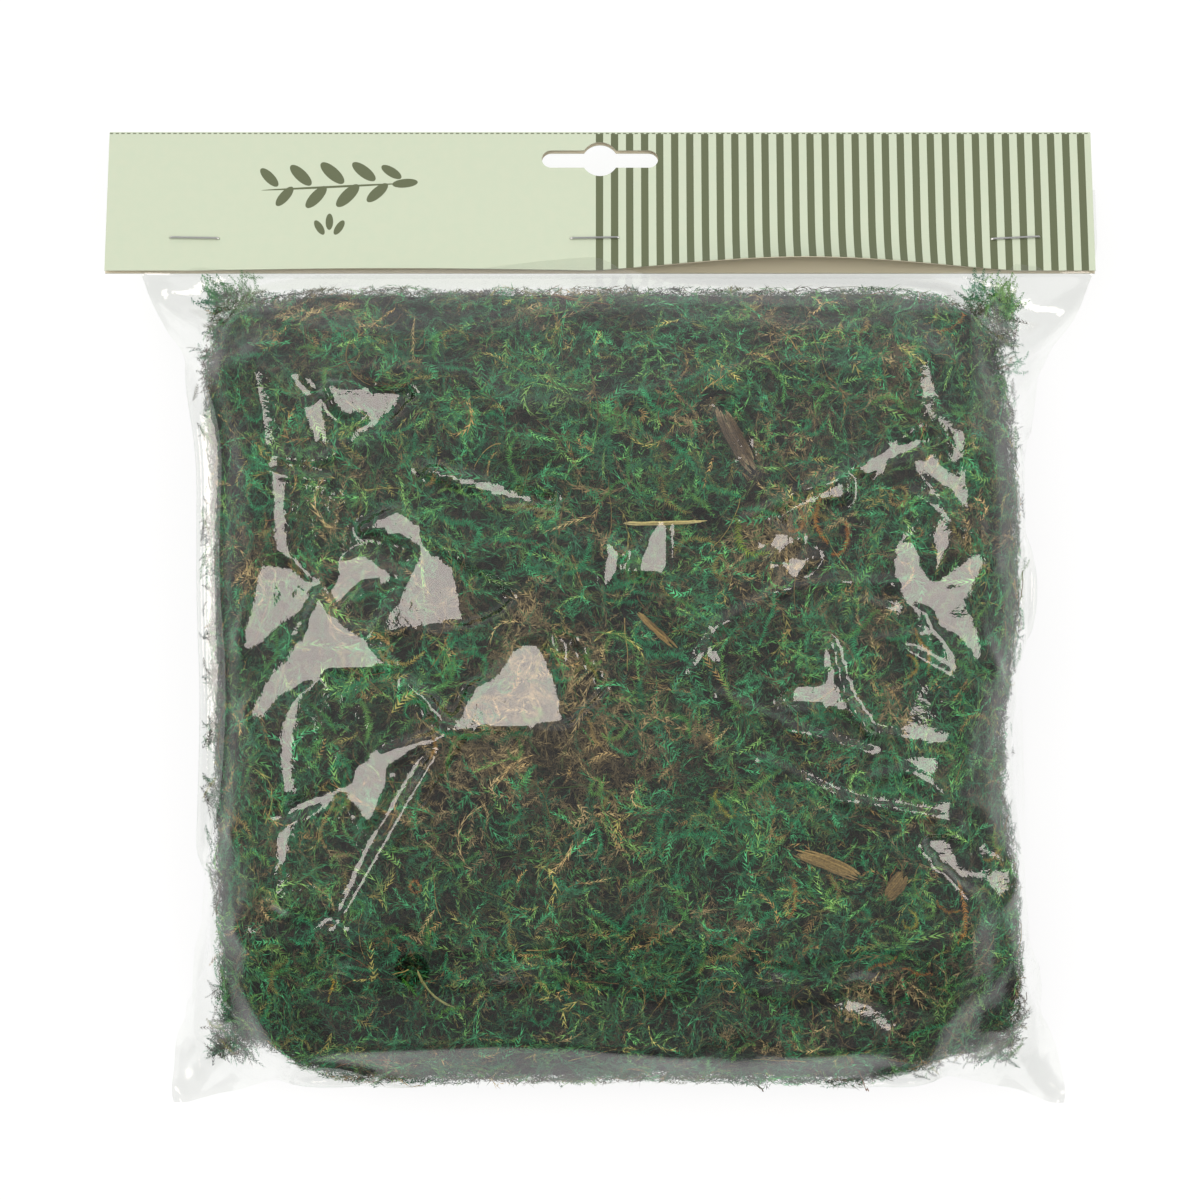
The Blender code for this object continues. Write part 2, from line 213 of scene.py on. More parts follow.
def read_grid(grid, x, y):
    """Reads a height grid at places in mm, straight between its points."""
    column = np.clip((x + GRID_HALF) / STEP, 0, grid.shape[1] - 1.001)
    row = np.clip((y + GRID_HALF) / STEP, 0, grid.shape[0] - 1.001)
    i, j = row.astype(int), column.astype(int)
    down, right = row - i, column - j
    upper = grid[i, j] * (1 - right) + grid[i, j + 1] * right
    lower = grid[i + 1, j] * (1 - right) + grid[i + 1, j + 1] * right
    return upper * (1 - down) + lower * down


cad_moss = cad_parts["moss_clump"]
bm = welded(cad_moss)
face_corners = np.array([[v.co for v in f.verts] for f in bm.faces]) / MM
face_normals = np.array([[v.normal for v in f.verts] for f in bm.faces])
moss_top = heights_of(BVHTree.FromBMesh(bm), True)
bmesh.ops.subdivide_edges(bm, edges=bm.edges, cuts=2, use_grid_fill=True)
bm.normal_update()
for vert in bm.verts:
    lumps = noise.noise(vert.co / (7 * MM)) + 0.6 * noise.noise(vert.co / (2.5 * MM))
    vert.co -= vert.normal * (FELT_DEPTH - 0.9 * lumps) * MM
felt_mesh = bpy.data.meshes.new("moss_felt")
bm.to_mesh(felt_mesh)
bm.free()
felt_mesh.shade_smooth()
felt, tree = new_material("pressed_moss_felt_painted_gap_shade")
place = add_node(tree, "ShaderNodeTexCoord").outputs["Object"]
fibres = add_node(tree, "ShaderNodeTexNoise", Vector=place, Scale=900.0, Detail=3.0)
tones = add_node(tree, "ShaderNodeValToRGB", _0=fibres.outputs["Fac"])
# Painted shade: the felt's tones are near black, darker than its stems, to stand for the shade in the gaps.
tones.color_ramp.elements[0].color = linear("040503")
tones.color_ramp.elements[1].color = linear("1C1910")
tones.color_ramp.elements[0].position, tones.color_ramp.elements[1].position = 0.4, 0.75
lumps = add_node(tree, "ShaderNodeBump", Height=fibres.outputs["Fac"], Strength=0.8, Distance=0.4 * MM)
shade = add_node(
    tree, "ShaderNodeBsdfPrincipled", Base_Color=tones.outputs[0], Roughness=0.9, Normal=lumps.outputs[0]
)
add_node(tree, "ShaderNodeOutputMaterial", Surface=shade.outputs[0])
felt_piece = add_piece("moss_felt", felt_mesh, felt, "dried_moss", "moss_clump")

# --- Fronds: thousands of curved shoots, each a stem with small pointed leaves along both sides.
# Every stem follows the clump's face; its leaves point forward and tip a little up or down.
GREENS = [
    ("2A6A44", 0.2), ("24523A", 0.2), ("388556", 0.1), ("4A8044", 0.11), ("648A48", 0.07),
    ("2A4A2E", 0.13), ("4A522E", 0.08), ("544C32", 0.06), ("8A8448", 0.03), ("947A4A", 0.02),
]
DARKS = [
    ("221F18", 0.3), ("332C20", 0.22), ("161C14", 0.22), ("473F2E", 0.12), ("17301F", 0.14),
]
BROWNS = [
    ("665A40", 0.34), ("80704E", 0.24), ("463D2E", 0.22), ("948258", 0.12), ("A58C5E", 0.05),
    ("3A5238", 0.05),
]
# A groove where the clump parts: x, y to x, y. Fronds along it lie deeper and are painted darker, as painted
# shade.
GROOVES = [
    (-7, -44, -42, -84), (-42, -84, -50, -92), (-2, -34, -7, -44), (-49, -90, -45, -88), (-48, -87, -44, -91),
]


def pick_colours(palette, count, draw):
    """One linear colour for each frond, drawn by share from a palette."""
    shares = np.array([share for _, share in palette])
    chosen = draw.choice(len(palette), count, p=shares / shares.sum())
    return np.array([linear(code) for code, _ in palette])[chosen]


def unit(vectors):
    """The vectors at length 1."""
    return vectors / (np.linalg.norm(vectors, axis=-1, keepdims=True) + 1e-9)


def surface_places(count, draw, weigh):
    """Random places on the clump's face in mm and the normals there, denser where weigh is larger."""
    edge_a = face_corners[:, 1] - face_corners[:, 0]
    edge_b = face_corners[:, 2] - face_corners[:, 0]
    cross = np.cross(edge_a, edge_b)
    area = np.linalg.norm(cross, axis=1)
    chance = area * weigh(unit(cross))
    face = draw.choice(len(area), count, p=chance / chance.sum())
    a, b = draw.random(count), draw.random(count)
    over = a + b > 1
    a[over], b[over] = 1 - a[over], 1 - b[over]
    shares = np.stack([1 - a - b, a, b], 1)[..., None]
    return (face_corners[face] * shares).sum(1), unit((face_normals[face] * shares).sum(1))


def joined_mesh(name, points, faces, colours):
    """One mesh of many small shapes: points in mm, faces of one size, and a colour for each point."""
    mesh = bpy.data.meshes.new(name)
    mesh.vertices.add(len(points))
    mesh.vertices.foreach_set("co", (points * MM).astype(np.float32).ravel())
    mesh.loops.add(faces.size)
    mesh.loops.foreach_set("vertex_index", faces.astype(np.int32).ravel())
    mesh.polygons.add(len(faces))
    mesh.polygons.foreach_set("loop_start", np.arange(0, faces.size, faces.shape[1], dtype=np.int32))
    mesh.update(calc_edges=True)
    tint = mesh.color_attributes.new("tint", "FLOAT_COLOR", "POINT")
    tint.data.foreach_set("color", colours.astype(np.float32).ravel())
    return mesh


def follow_face(points, depth):
    """Moves points in mm along the clump's normals until they lie at these depths under its face."""
    nearest = np.array([guide.find(p)[1] for p in points.reshape(-1, 3)]).reshape(points.shape[:-1])
    normals = guide_normals[nearest]
    height = ((points - guide_places[nearest]) * normals).sum(-1)
    return points - normals * (height + depth)[..., None], normals


def bent_stems(roots, normals, heading, length, bend, draw, segments):
    """Curved stems in mm about their roots, flat in the plane of each root's normal."""
    share = np.linspace(0, 1, segments + 1)
    turn = heading[:, None] + bend[:, None] * (share - 0.5)
    turn = turn + np.cumsum(draw.normal(0, 0.16, turn.shape), 1)
    reach = (length / segments)[:, None]
    across = np.cumsum(np.cos(turn) * reach, 1)
    along = np.cumsum(np.sin(turn) * reach, 1)
    across -= across.mean(1, keepdims=True)
    along -= along.mean(1, keepdims=True)
    helper = np.where(np.abs(normals[:, :1]) < 0.8, [[1.0, 0, 0]], [[0, 1.0, 0]])
    first = unit(np.cross(helper, normals))
    second = np.cross(normals, first)
    return roots[:, None] + across[..., None] * first[:, None] + along[..., None] * second[:, None]


def laid_on_face(stem, depth, arch, draw):
    """The stems laid at their depths under the clump's face, arched up in their middles."""
    share = np.linspace(0, 1, stem.shape[1])
    lift = arch[:, None] * (np.sin(math.pi * share) - 0.5) + draw.normal(0, 0.12, stem.shape[:2])
    return follow_face(stem, depth[:, None] - lift)


def frond_mesh(name, stem, up, width, colours, draw):
    """Joined fronds along stems in mm: each stretch is a thin spindle with a leaf to each side."""
    count, segments = stem.shape[0], stem.shape[1] - 1
    share = np.linspace(0, 1, segments + 1)
    step = stem[:, 1:] - stem[:, :-1]
    reach = np.linalg.norm(step, axis=-1)
    ahead, up = unit(step), up[:, :-1]
    aside = np.cross(up, ahead)
    middle = (share[:-1] + share[1:]) / 2
    spread = width[:, None] / 2 * np.sin(math.pi * (0.14 + 0.78 * middle)) ** 0.6
    tips = []
    for side in (1, -1):
        wide = spread * draw.uniform(0.6, 1.25, spread.shape) * side
        forward = reach * draw.uniform(1.1, 2.0, spread.shape)
        raised = draw.normal(0.05, 0.25, spread.shape)
        tips.append(
            stem[:, :-1] + ahead * forward[..., None] + aside * wide[..., None] + up * raised[..., None]
        )
    points = np.concatenate([stem[:, :-1], stem[:, :-1] + step * 0.55, tips[0], tips[1]], 1)
    n = segments
    faces = [(i, n + i, 2 * n + i) for i in range(n)] + [(n + i, i, 3 * n + i) for i in range(n)]
    faces = (np.array(faces)[None] + (np.arange(count) * 4 * n)[:, None, None]).reshape(-1, 3)
    shade = 0.72 + 0.5 * np.concatenate([middle * 0.5, middle * 0.5, middle * 0.5 + 0.5, middle * 0.5 + 0.5])
    full = np.repeat(colours[:, None], 4 * n, 1)
    full[..., :3] *= shade[None, :, None]
    return joined_mesh(name, points.reshape(-1, 3), faces, full)


def on_moss(x, y):
    """The clump's face and its normal at a plan place in mm."""
    place = np.stack([x, y, read_grid(moss_top, x, y)], -1)
    nearest = np.array([guide.find(p)[1] for p in place])
    return place, guide_normals[nearest]


def dry_plant_material(name, mottle, tones, roughness, shine=0.5, ridges=0.0):
    """Each piece's own tint, mottled at a scale and detail over a span of noise, with ridges in mm."""
    made, tree = new_material(name)
    tint = add_node(tree, "ShaderNodeVertexColor", {"layer_name": "tint"})
    place = add_node(tree, "ShaderNodeTexCoord").outputs["Object"]
    scale, detail, spread = mottle
    grain = add_node(tree, "ShaderNodeTexNoise", Vector=place, Scale=scale, Detail=detail).outputs["Fac"]
    span = add_node(
        tree, "ShaderNodeMapRange", Value=grain, _1=0.5 - spread, _2=0.5 + spread, _3=tones[0], _4=tones[1]
    )
    colour = add_node(
        tree, "ShaderNodeVectorMath", {"operation": "SCALE"}, _0=tint.outputs[0], Scale=span.outputs[0]
    )
    shade = add_node(tree, "ShaderNodeBsdfPrincipled", Base_Color=colour.outputs[0], Roughness=roughness)
    shade.inputs["Specular IOR Level"].default_value = shine
    if ridges:
        raised = add_node(tree, "ShaderNodeBump", Height=grain, Strength=0.6, Distance=ridges * MM)
        tree.links.new(raised.outputs[0], shade.inputs["Normal"])
    add_node(tree, "ShaderNodeOutputMaterial", Surface=shade.outputs[0])
    return made


dyed = dry_plant_material("dyed_dry_moss", (700.0, 2.0, 0.2), (0.6, 1.4), 0.62, shine=0.25)

draw = np.random.default_rng(11)
guide_places, guide_normals = surface_places(60000, draw, lambda n: np.ones(len(n)))
guide = KDTree(len(guide_places))
for index, place in enumerate(guide_places):
    guide.insert(place, index)
guide.balance()

LAYERS = [
    # name, count, depth under the clump's face, length, width, share of dark shoots, tone; the deeper layers
    # take more dark shoots as painted shade, and the tone is painted shade below 1 in the deep layers and
    # painted light above 1 on top
    ("moss_fronds_low", 11500, 2.4, 10.0, 1.8, 0.62, 0.35),
    ("moss_fronds_mid", 11500, 1.5, 9.0, 1.6, 0.5, 0.6),
    ("moss_fronds_top_a", 11500, 0.8, 8.5, 1.5, 0.32, 1.15),
    ("moss_fronds_top_b", 11500, 0.4, 8.0, 1.35, 0.25, 1.45),
]
for name, count, depth, length, width, dark, tone in LAYERS:
    roots, normals = surface_places(
        count, draw, lambda n: np.where(n[:, 2] > 0.3, 1.0, np.where(n[:, 2] < -0.5, 0.22, 0.8))
    )
    patchy = np.array([noise.noise(Vector(p) / 21) + 0.5 * noise.noise(Vector(p) / 8) for p in roots])
    tufts = np.array([noise.noise(Vector(p) / 5 + Vector((9, 4, 2))) for p in roots])
    brown = np.exp(-(((roots[:, 0] + 9) / 17) ** 2 + ((roots[:, 1] + 33) / 26) ** 2)) * 0.8
    brown = np.clip(brown + np.clip(patchy - 0.2, 0, 1) * 1.4, 0, 0.9)
    groove = np.zeros(count)
    for x0, y0, x1, y1 in GROOVES:
        run_x, run_y = x1 - x0, y1 - y0
        from_x, from_y = roots[:, 0] - x0, roots[:, 1] - y0
        share = np.clip((from_x * run_x + from_y * run_y) / (run_x**2 + run_y**2), 0, 1)
        away = np.hypot(from_x - share * run_x, from_y - share * run_y)
        groove = np.maximum(groove, np.exp(-((away / 1.5) ** 2)))
    # Painted shade: dark shoots are drawn more often where the tufts part, so the gaps between tufts read
    # dark.
    darker = np.clip(dark - tufts * 0.9, 0.03, 0.95)
    colours = pick_colours(GREENS, count, draw)
    colours = np.where((draw.random(count) < darker)[:, None], pick_colours(DARKS, count, draw), colours)
    colours = np.where((draw.random(count) < brown)[:, None], pick_colours(BROWNS, count, draw), colours)
    # Painted light and shade: each colour is scaled by its layer's tone, lighter on the tufts and darker
    # between them, and darker in the groove; the random spread is the moss's own.
    bright = tone * draw.uniform(0.55, 1.4, count) * np.clip(1 + 1.1 * tufts, 0.35, 1.7) * (1 - 0.6 * groove)
    colours[:, :3] *= bright[:, None]
    stem = bent_stems(
        roots, normals, draw.uniform(0, 2 * math.pi, count) + patchy * 3,
        length * draw.lognormal(0, 0.35, count), draw.normal(0, 1.9, count), draw, 8,
    )
    depth = depth + draw.exponential(0.35, count) + np.clip(-tufts, 0, 1) * 2.2 + 1.6 * groove
    stem, up = laid_on_face(stem, depth, draw.uniform(-0.2, 0.9, count), draw)
    fronds = frond_mesh(name, stem, up, width * draw.lognormal(0, 0.3, count), colours, draw)
    add_piece(name, fronds, dyed, "dried_moss", "moss_clump")

# --- Larger sprigs on top: bright green shoots strewn over the face, and a few yellow, tan and orange ones.
# The strewn ones keep to the face's upper side; the others have places of their own.
SPRIGS = [
    # x, y, heading in degrees, length, width, bend, colour
    (-49, -12, 60, 14, 1.9, 2.2, "A9964A"), (36, 17, 35, 16, 2.6, 0.6, "7F9A2E"),
    (54, 22, 20, 13, 2.0, 2.8, "B0742A"), (60, 17, -50, 11, 1.8, -2.5, "A8661F"),
    (80, -10, 80, 13, 1.9, 2.6, "B5832F"), (77, -14, 20, 9, 1.6, -3.0, "A88A3A"),
    (90, -75, -20, 17, 2.0, -1.2, "BE8434"), (86, -74, 30, 8, 1.5, 2.0, "B07A30"),
    (77, -77, 100, 10, 1.7, 4.5, "A9A03C"), (98, -61, 95, 8, 1.6, 0.8, "A98538"),
    (79, -90, -60, 8, 1.6, 1.5, "B07038"), (-67, -94, 75, 7, 1.4, 0.5, "C9A83A"),
    (-69, -98, 80, 14, 2.6, 0.9, "168048"), (-62, -100, 20, 11, 2.4, -1.2, "14743E"),
    (-46, -96, 60, 12, 2.6, 0.5, "4F9A2E"), (-37, -100, 110, 11, 2.4, -0.8, "5BA036"),
    (30, -48, 10, 10, 1.7, 3.0, "9C9A3C"), (72, -100, -70, 13, 2.6, 0.6, "147A3E"),
    (70, -88, 160, 9, 1.6, 1.2, "A8702C"), (-41, -34, 40, 6, 1.7, 0.5, "B88A3A"),
]
STREWN_SPRIGS = 330
roots, normals = surface_places(STREWN_SPRIGS, draw, lambda n: np.where(n[:, 2] > 0.6, 1.0, 0.05))
SPRIG_COLOURS = [
    ("1F8A58", 0.3), ("2A9A62", 0.14), ("4A8E40", 0.18), ("66A04A", 0.1), ("1C7048", 0.14),
    ("8A8444", 0.05), ("A08850", 0.04), ("A8743C", 0.015), ("635641", 0.03),
]
placed = np.array([sprig[:6] for sprig in SPRIGS])
placed_roots, placed_normals = on_moss(placed[:, 0], placed[:, 1])
placed_colours = [linear(sprig[6]) for sprig in SPRIGS]
colours = np.concatenate([pick_colours(SPRIG_COLOURS, STREWN_SPRIGS, draw), placed_colours])
stem = bent_stems(
    np.concatenate([roots, placed_roots]), np.concatenate([normals, placed_normals]),
    np.concatenate([draw.uniform(0, 2 * math.pi, STREWN_SPRIGS), np.radians(placed[:, 2])]),
    np.concatenate([draw.uniform(7, 15, STREWN_SPRIGS), placed[:, 3]]),
    np.concatenate([draw.normal(0, 2.6, STREWN_SPRIGS), placed[:, 5]]), draw, 26,
)
depth = np.concatenate([draw.uniform(0.0, 0.5, STREWN_SPRIGS), np.full(len(SPRIGS), -0.15)])
stem, up = laid_on_face(stem, depth, draw.uniform(0.0, 0.6, len(depth)), draw)
width = np.concatenate([draw.uniform(1.5, 2.6, STREWN_SPRIGS), placed[:, 4]])
sprigs = frond_mesh("moss_sprigs", stem, up, width, colours, draw)
add_piece("moss_sprigs", sprigs, dyed, "dried_moss", "moss_clump")

# --- Stems: bare brown and straw-coloured stalks lying loose among the fronds, as thin round rods.
# They follow the clump's face, some just under its top shoots and some over them.
STEMS = 520
STEM_POINTS = 9
STEM_SIDES = 4


def rod_mesh(name, paths, wide, high, colours, sides):
    """Joined closed rods along paths in mm, with half widths and half heights at each point."""
    count, steps = paths.shape[:2]
    ahead = unit(np.gradient(paths, axis=1))
    aside = unit(np.cross(ahead, [0.0, 0, 1]))
    up = np.cross(aside, ahead)
    angle = 2 * math.pi * np.arange(sides) / sides
    points = (
        paths[:, :, None]
        + aside[:, :, None] * (wide[..., None] * np.cos(angle))[..., None]
        + up[:, :, None] * (high[..., None] * np.sin(angle))[..., None]
    )
    faces = []
    for i in range(steps - 1):
        for k in range(sides):
            near, far = k, (k + 1) % sides
            faces.append((i * sides + near, i * sides + far, (i + 1) * sides + far, (i + 1) * sides + near))
    for k in range(1, sides - 2, 2):
        last = (steps - 1) * sides
        faces.append((0, k + 2, k + 1, k))
        faces.append((last, last + k, last + k + 1, last + k + 2))
    faces = (np.array(faces)[None] + (np.arange(count) * steps * sides)[:, None, None]).reshape(-1, 4)
    full = np.repeat(colours[:, :, None], sides, 2)
    return joined_mesh(name, points.reshape(-1, 3), faces, full.reshape(-1, 4))


def wander(count, points, length, bend, waver, draw):
    """Plan offsets in mm of curved paths about their middles, and their headings turned at random."""
    share = np.linspace(0, 1, points)
    turn = draw.uniform(0, 2 * math.pi, (count, 1)) + bend[:, None] * (share - 0.5)
    turn = turn + np.cumsum(draw.normal(0, waver, (count, points)), 1)
    reach = (length / (points - 1))[:, None]
    offsets = np.stack([np.cumsum(np.cos(turn) * reach, 1), np.cumsum(np.sin(turn) * reach, 1)], -1)
    return offsets - offsets.mean(1, keepdims=True)


dry_stem = dry_plant_material("dry_plant_stem", (1500.0, 2.0, 0.2), (0.7, 1.3), 0.5, shine=0.35)
roots, normals = surface_places(STEMS, draw, lambda n: np.where(n[:, 2] > 0.3, 1.0, 0.4))
length = draw.uniform(4, 17, STEMS)
offsets = wander(STEMS, STEM_POINTS, length, draw.normal(0, 1.1, STEMS), 0.1, draw)
helper = np.where(np.abs(normals[:, :1]) < 0.8, [[1.0, 0, 0]], [[0, 1.0, 0]])
first = unit(np.cross(helper, normals))
second = np.cross(normals, first)
paths = roots[:, None] + offsets[..., :1] * first[:, None] + offsets[..., 1:] * second[:, None]
depth = draw.uniform(-0.25, 1.2, (STEMS, 1)) + draw.normal(0, 0.1, (STEMS, STEM_POINTS))
paths, _ = follow_face(paths, depth)
radius = draw.uniform(0.07, 0.17, STEMS)[:, None] * np.linspace(1, 0.5, STEM_POINTS)
STEM_COLOURS = [
    ("5B4728", 0.28), ("7C6638", 0.14), ("3B2E1A", 0.28), ("A08A50", 0.06), ("8A5A2C", 0.06),
    ("33501E", 0.18),
]
colours = np.repeat(pick_colours(STEM_COLOURS, STEMS, draw)[:, None], STEM_POINTS, 1)
stems = rod_mesh("loose_stems", paths, radius, radius, colours, STEM_SIDES)
add_piece("loose_stems", stems, dry_stem, "dried_moss", "moss_clump")

# --- Bits between the moss and the film: a strip of bark, a wood chip, a leaf flake and three straws.
# Each is a bundle of fibres, split at its ends, laid over the moss just under the film.
BUNDLES = {
    # name: (x, y, turn, length, width, fibres, half thickness, bend, dark colour, pale end colour, slot)
    "bark_strip": (33.5, 42.5, -62, 19, 4.2, 9, 0.55, 0.25, "54432F", "CDB98E", "bark"),
    "wood_chip": (56, -62.5, -22, 17.5, 3.4, 8, 0.45, -0.2, "8A7446", "B39A66", "dry_wood"),
    "leaf_flake": (73, -68, 48, 8, 4.2, 8, 0.22, 0.3, "6E5A34", "8F7A48", "dry_leaf"),
    "straw_long": (16, 21.5, 1, 21, 0.9, 2, 0.32, 0.1, "B7A86C", "CFC290", "straw"),
    "straw_flat": (14, -5, -44, 14.5, 1.6, 3, 0.3, 0.15, "7C6434", "A89258", "straw"),
    "straw_bent": (-41.5, -95, -48, 14, 0.55, 2, 0.2, 1.1, "8F8F58", "A8A66C", "straw"),
}
BIT_SURFACES = {
    # material name by slot, roughness, dark share of the grain
    "bark": ("shredded_bark", 0.75, 0.45),
    "dry_wood": ("split_dry_wood", 0.7, 0.7),
    "dry_leaf": ("dry_leaf_flake", 0.65, 0.6),
    "straw": ("dry_straw", 0.45, 0.8),
}
bit_materials = {
    slot_name: dry_plant_material(name, (1800.0, 3.0, 0.15), (dark, 1.25), roughness, ridges=0.15)
    for slot_name, (name, roughness, dark) in BIT_SURFACES.items()
}

draw = np.random.default_rng(5)
BIT_POINTS = 13
for name, (x, y, turn, length, width, fibres, half, bend, dark, pale, slot_name) in BUNDLES.items():
    share = np.linspace(-0.5, 0.5, BIT_POINTS)
    lanes = (np.arange(fibres) + 0.5) / fibres - 0.5
    heading = math.radians(turn) + bend * share
    middle = np.stack([np.cumsum(np.cos(heading)), np.cumsum(np.sin(heading))], -1)
    middle = middle * length / (BIT_POINTS - 1)
    middle = middle - middle.mean(0) + [x, y]
    side = np.stack([-np.sin(heading), np.cos(heading)], -1)
    shorter = draw.uniform(0.72, 1.0, fibres)
    slide = draw.uniform(-0.5, 0.5, fibres) * (1 - shorter)
    spot = np.clip(share[None] * shorter[:, None] + slide[:, None], -0.5, 0.5)
    spot = (spot + 0.5) * (BIT_POINTS - 1)
    low = np.clip(spot.astype(int), 0, BIT_POINTS - 2)
    part = (spot - low)[..., None]
    centre = middle[low] * (1 - part) + middle[low + 1] * part
    outward = side[low]
    narrow = 1 - 0.35 * np.abs(2 * share) ** 3
    offset = lanes[:, None] * width * narrow + draw.normal(0, 0.06, (fibres, BIT_POINTS))
    plan = centre + outward * offset[..., None]
    rise = 0.25 + half * 0.6 + 0.35 * np.cos(lanes * math.pi)[:, None]
    rise = rise + draw.normal(0, 0.05, (fibres, BIT_POINTS))
    paths = np.concatenate([plan, (read_grid(moss_top, plan[..., 0], plan[..., 1]) + rise)[..., None]], -1)
    taper = np.clip(1.15 - np.abs(2 * share) ** 6, 0.2, 1)
    wide = np.full((fibres, 1), width / fibres * 0.62) * taper
    high = np.full((fibres, 1), half) * taper * draw.uniform(0.6, 1.0, (fibres, 1))
    ends = (np.abs(2 * share) ** 4)[None, :, None] * draw.uniform(0.3, 1.0, (fibres, 1, 1))
    tone = draw.uniform(0.65, 1.3, (fibres, 1, 1))
    colours = np.array(linear(dark)) * (1 - ends) * tone + np.array(linear(pale)) * ends
    colours[..., 3] = 1
    bundle = rod_mesh(name + "_fibres", paths, wide, high, colours, 8)
    bundle.shade_smooth()
    add_piece(name + "_fibres", bundle, bit_materials[slot_name], slot_name, name)

# --- Film bag: blown polypropylene, welded flat at its bottom and side seams, and slack over the moss.
# Its two walls are settled under their own weight as sheets that fold but hardly stretch.
# The front wall is punched with one vent, and its folds stand on the moss where the film was creased.
FLAT_WIDTH = 243.0
FLAT_LENGTH = 246.0
MOUTH_Y = 106.7
CARD_SLOPE = math.radians(18)
# The card grips this much of the bag's length.
HELD_LENGTH = 22.5
FLOOR_GAP = 0.25
GRAVITY = 0.03
# The vent's x, y and radius.
VENT = (-46.5, -89.0, 4.3)
# Flat facets between the film's folds, as outlines in mm: those that lean left, then those that lean right.
FACETS = {
    (0.305, 0.02): [
        [(-88, -24), (-72.5, -5.5), (-69, 3.5), (-64, -3.5), (-57, -6.5), (-54.5, -14), (-67, -14.5),
         (-72.5, -17.5), (-86.5, -31.5)],
        [(-67, 3.5), (-62, 12), (-58, 14), (-50.5, 9), (-58, 7), (-64, 1)],
        [(-37.5, -30.5), (-65, -75), (-63, -77.5), (-34.5, -32)],
        [(-37, -29.5), (-49.5, -33.5), (-60.5, -38.5), (-59, -42), (-49.5, -37)],
        [(-60, -39.5), (-61.5, -47), (-56.5, -53), (-54, -47), (-51.5, -40.5)],
        [(-57, -7.5), (-37, -29.5), (-39.5, -23.5), (-54, -12.5)],
        [(-95.5, -56), (-83.5, -53.5), (-71.5, -48.5), (-59, -42), (-71.5, -46), (-83.5, -51.5)],
        [(-91, -79), (-81.5, -74.5), (-72.5, -77), (-64, -75), (-73.5, -80.5), (-79.5, -79), (-89, -83.5)],
        [(-84, 10), (-78.5, 12), (-69.5, 5), (-78.5, 8.5), (-88.5, -12.5), (-90, -7.5)],
        [(-88.5, -8.5), (-78.5, -0.5), (-71, 4), (-76.5, -3.5), (-87, -11)],
        [(-83.5, 66.5), (-81, 65.5), (-71, 53), (-73, 52)],
        [(-73.5, 50.5), (-70.5, 50.5), (-69, 37.5)],
        [(43, 22.5), (50, 29.5), (54, 30.5), (60.5, 33), (60, 27), (55, 27.5), (49, 25.5), (44.5, 22.5)],
        [(39.5, 15.5), (46, 19.5), (49, 17.5), (45, 14.5)],
        [(43, 11.5), (53, 13.5), (49, 8), (46, 8.5)],
        [(23, -16.5), (25, -9.5), (28.5, -12.5)],
        [(44.5, -22), (48.5, -18), (57.5, -18), (56.5, -11.5), (54.5, -7.5), (56.5, -7.5), (59.5, -20),
         (66, -30), (60.5, -25), (52, -22.5)],
        [(0, 5), (2, 17), (5.5, 14.5), (4, 8)],
    ],
    (-0.30, -0.06): [
        [(-58.5, 20), (-50, 25), (-45.5, 20.5), (-42.5, 15.5), (-36, 11), (-27, 7), (-22.5, 2.5),
         (-27, -0.5), (-31, -2), (-41, -3.5), (-57, -6.5), (-49.5, 3.5), (-46, 10), (-44, 15.5),
         (-50.5, 18.5)],
        [(-37, -29.5), (-31, -19), (-27, -17), (-18.5, -8.5), (-14.5, -8.5), (-12.5, -13), (-8, -27.5)],
        [(-9.5, -4.5), (0, -19), (-4, -24), (-7, -26.5)],
        [(-68, 55.5), (-46.5, 53), (-46.5, 52.5), (-64, 48)],
        [(-69, 36.5), (-61.5, 43), (-46.5, 52.5), (-54, 45.5), (-66.5, 37.5)],
        [(-46, 35.5), (-32, 32.5), (-12, 27), (-19.5, 27), (-35.5, 31)],
        [(62.5, 35), (68.5, 38.5), (80.5, 43), (78, 39.5), (70.5, 37), (65.5, 33.5)],
        [(77, 37.5), (86, 34.5), (87.5, 30.5), (94.5, 20), (92.5, 19), (85, 30)],
        [(74, 17), (77.5, 16.5), (79, 10.5), (83.5, 5.5), (84, 0), (87.5, -2.5), (93.5, -2), (95.5, -9.5),
         (100.5, -17), (96.5, -12.5), (91.5, -11.5), (84, -4.5), (81, 1), (76, 3), (70.5, 6.5), (73, 10.5),
         (71, 13), (76, 12.5)],
        [(83.5, 5.5), (86, 11.5), (94.5, 15.5), (98, 12), (91.5, 8)],
        [(80, -56.5), (86, -57), (88.5, -63.5), (98, -66.5), (104, -63.5), (104, -70.5), (100, -72.5),
         (95.5, -70.5), (89.5, -66.5), (84, -62)],
        [(87.5, -52), (93.5, -56.5), (103, -61.5), (96.5, -61), (90.5, -58)],
        [(63.5, -91.5), (69.5, -93.5), (74, -108), (66.5, -102.5), (59.5, -99.5)],
        [(95, -101), (103, -98.5), (105, -103.5), (102, -106), (96.5, -104.5)],
        [(8.5, 9.5), (12.5, 19.5), (16, 22), (17, 16.5), (16.5, 10.5), (13.5, 9)],
    ],
}
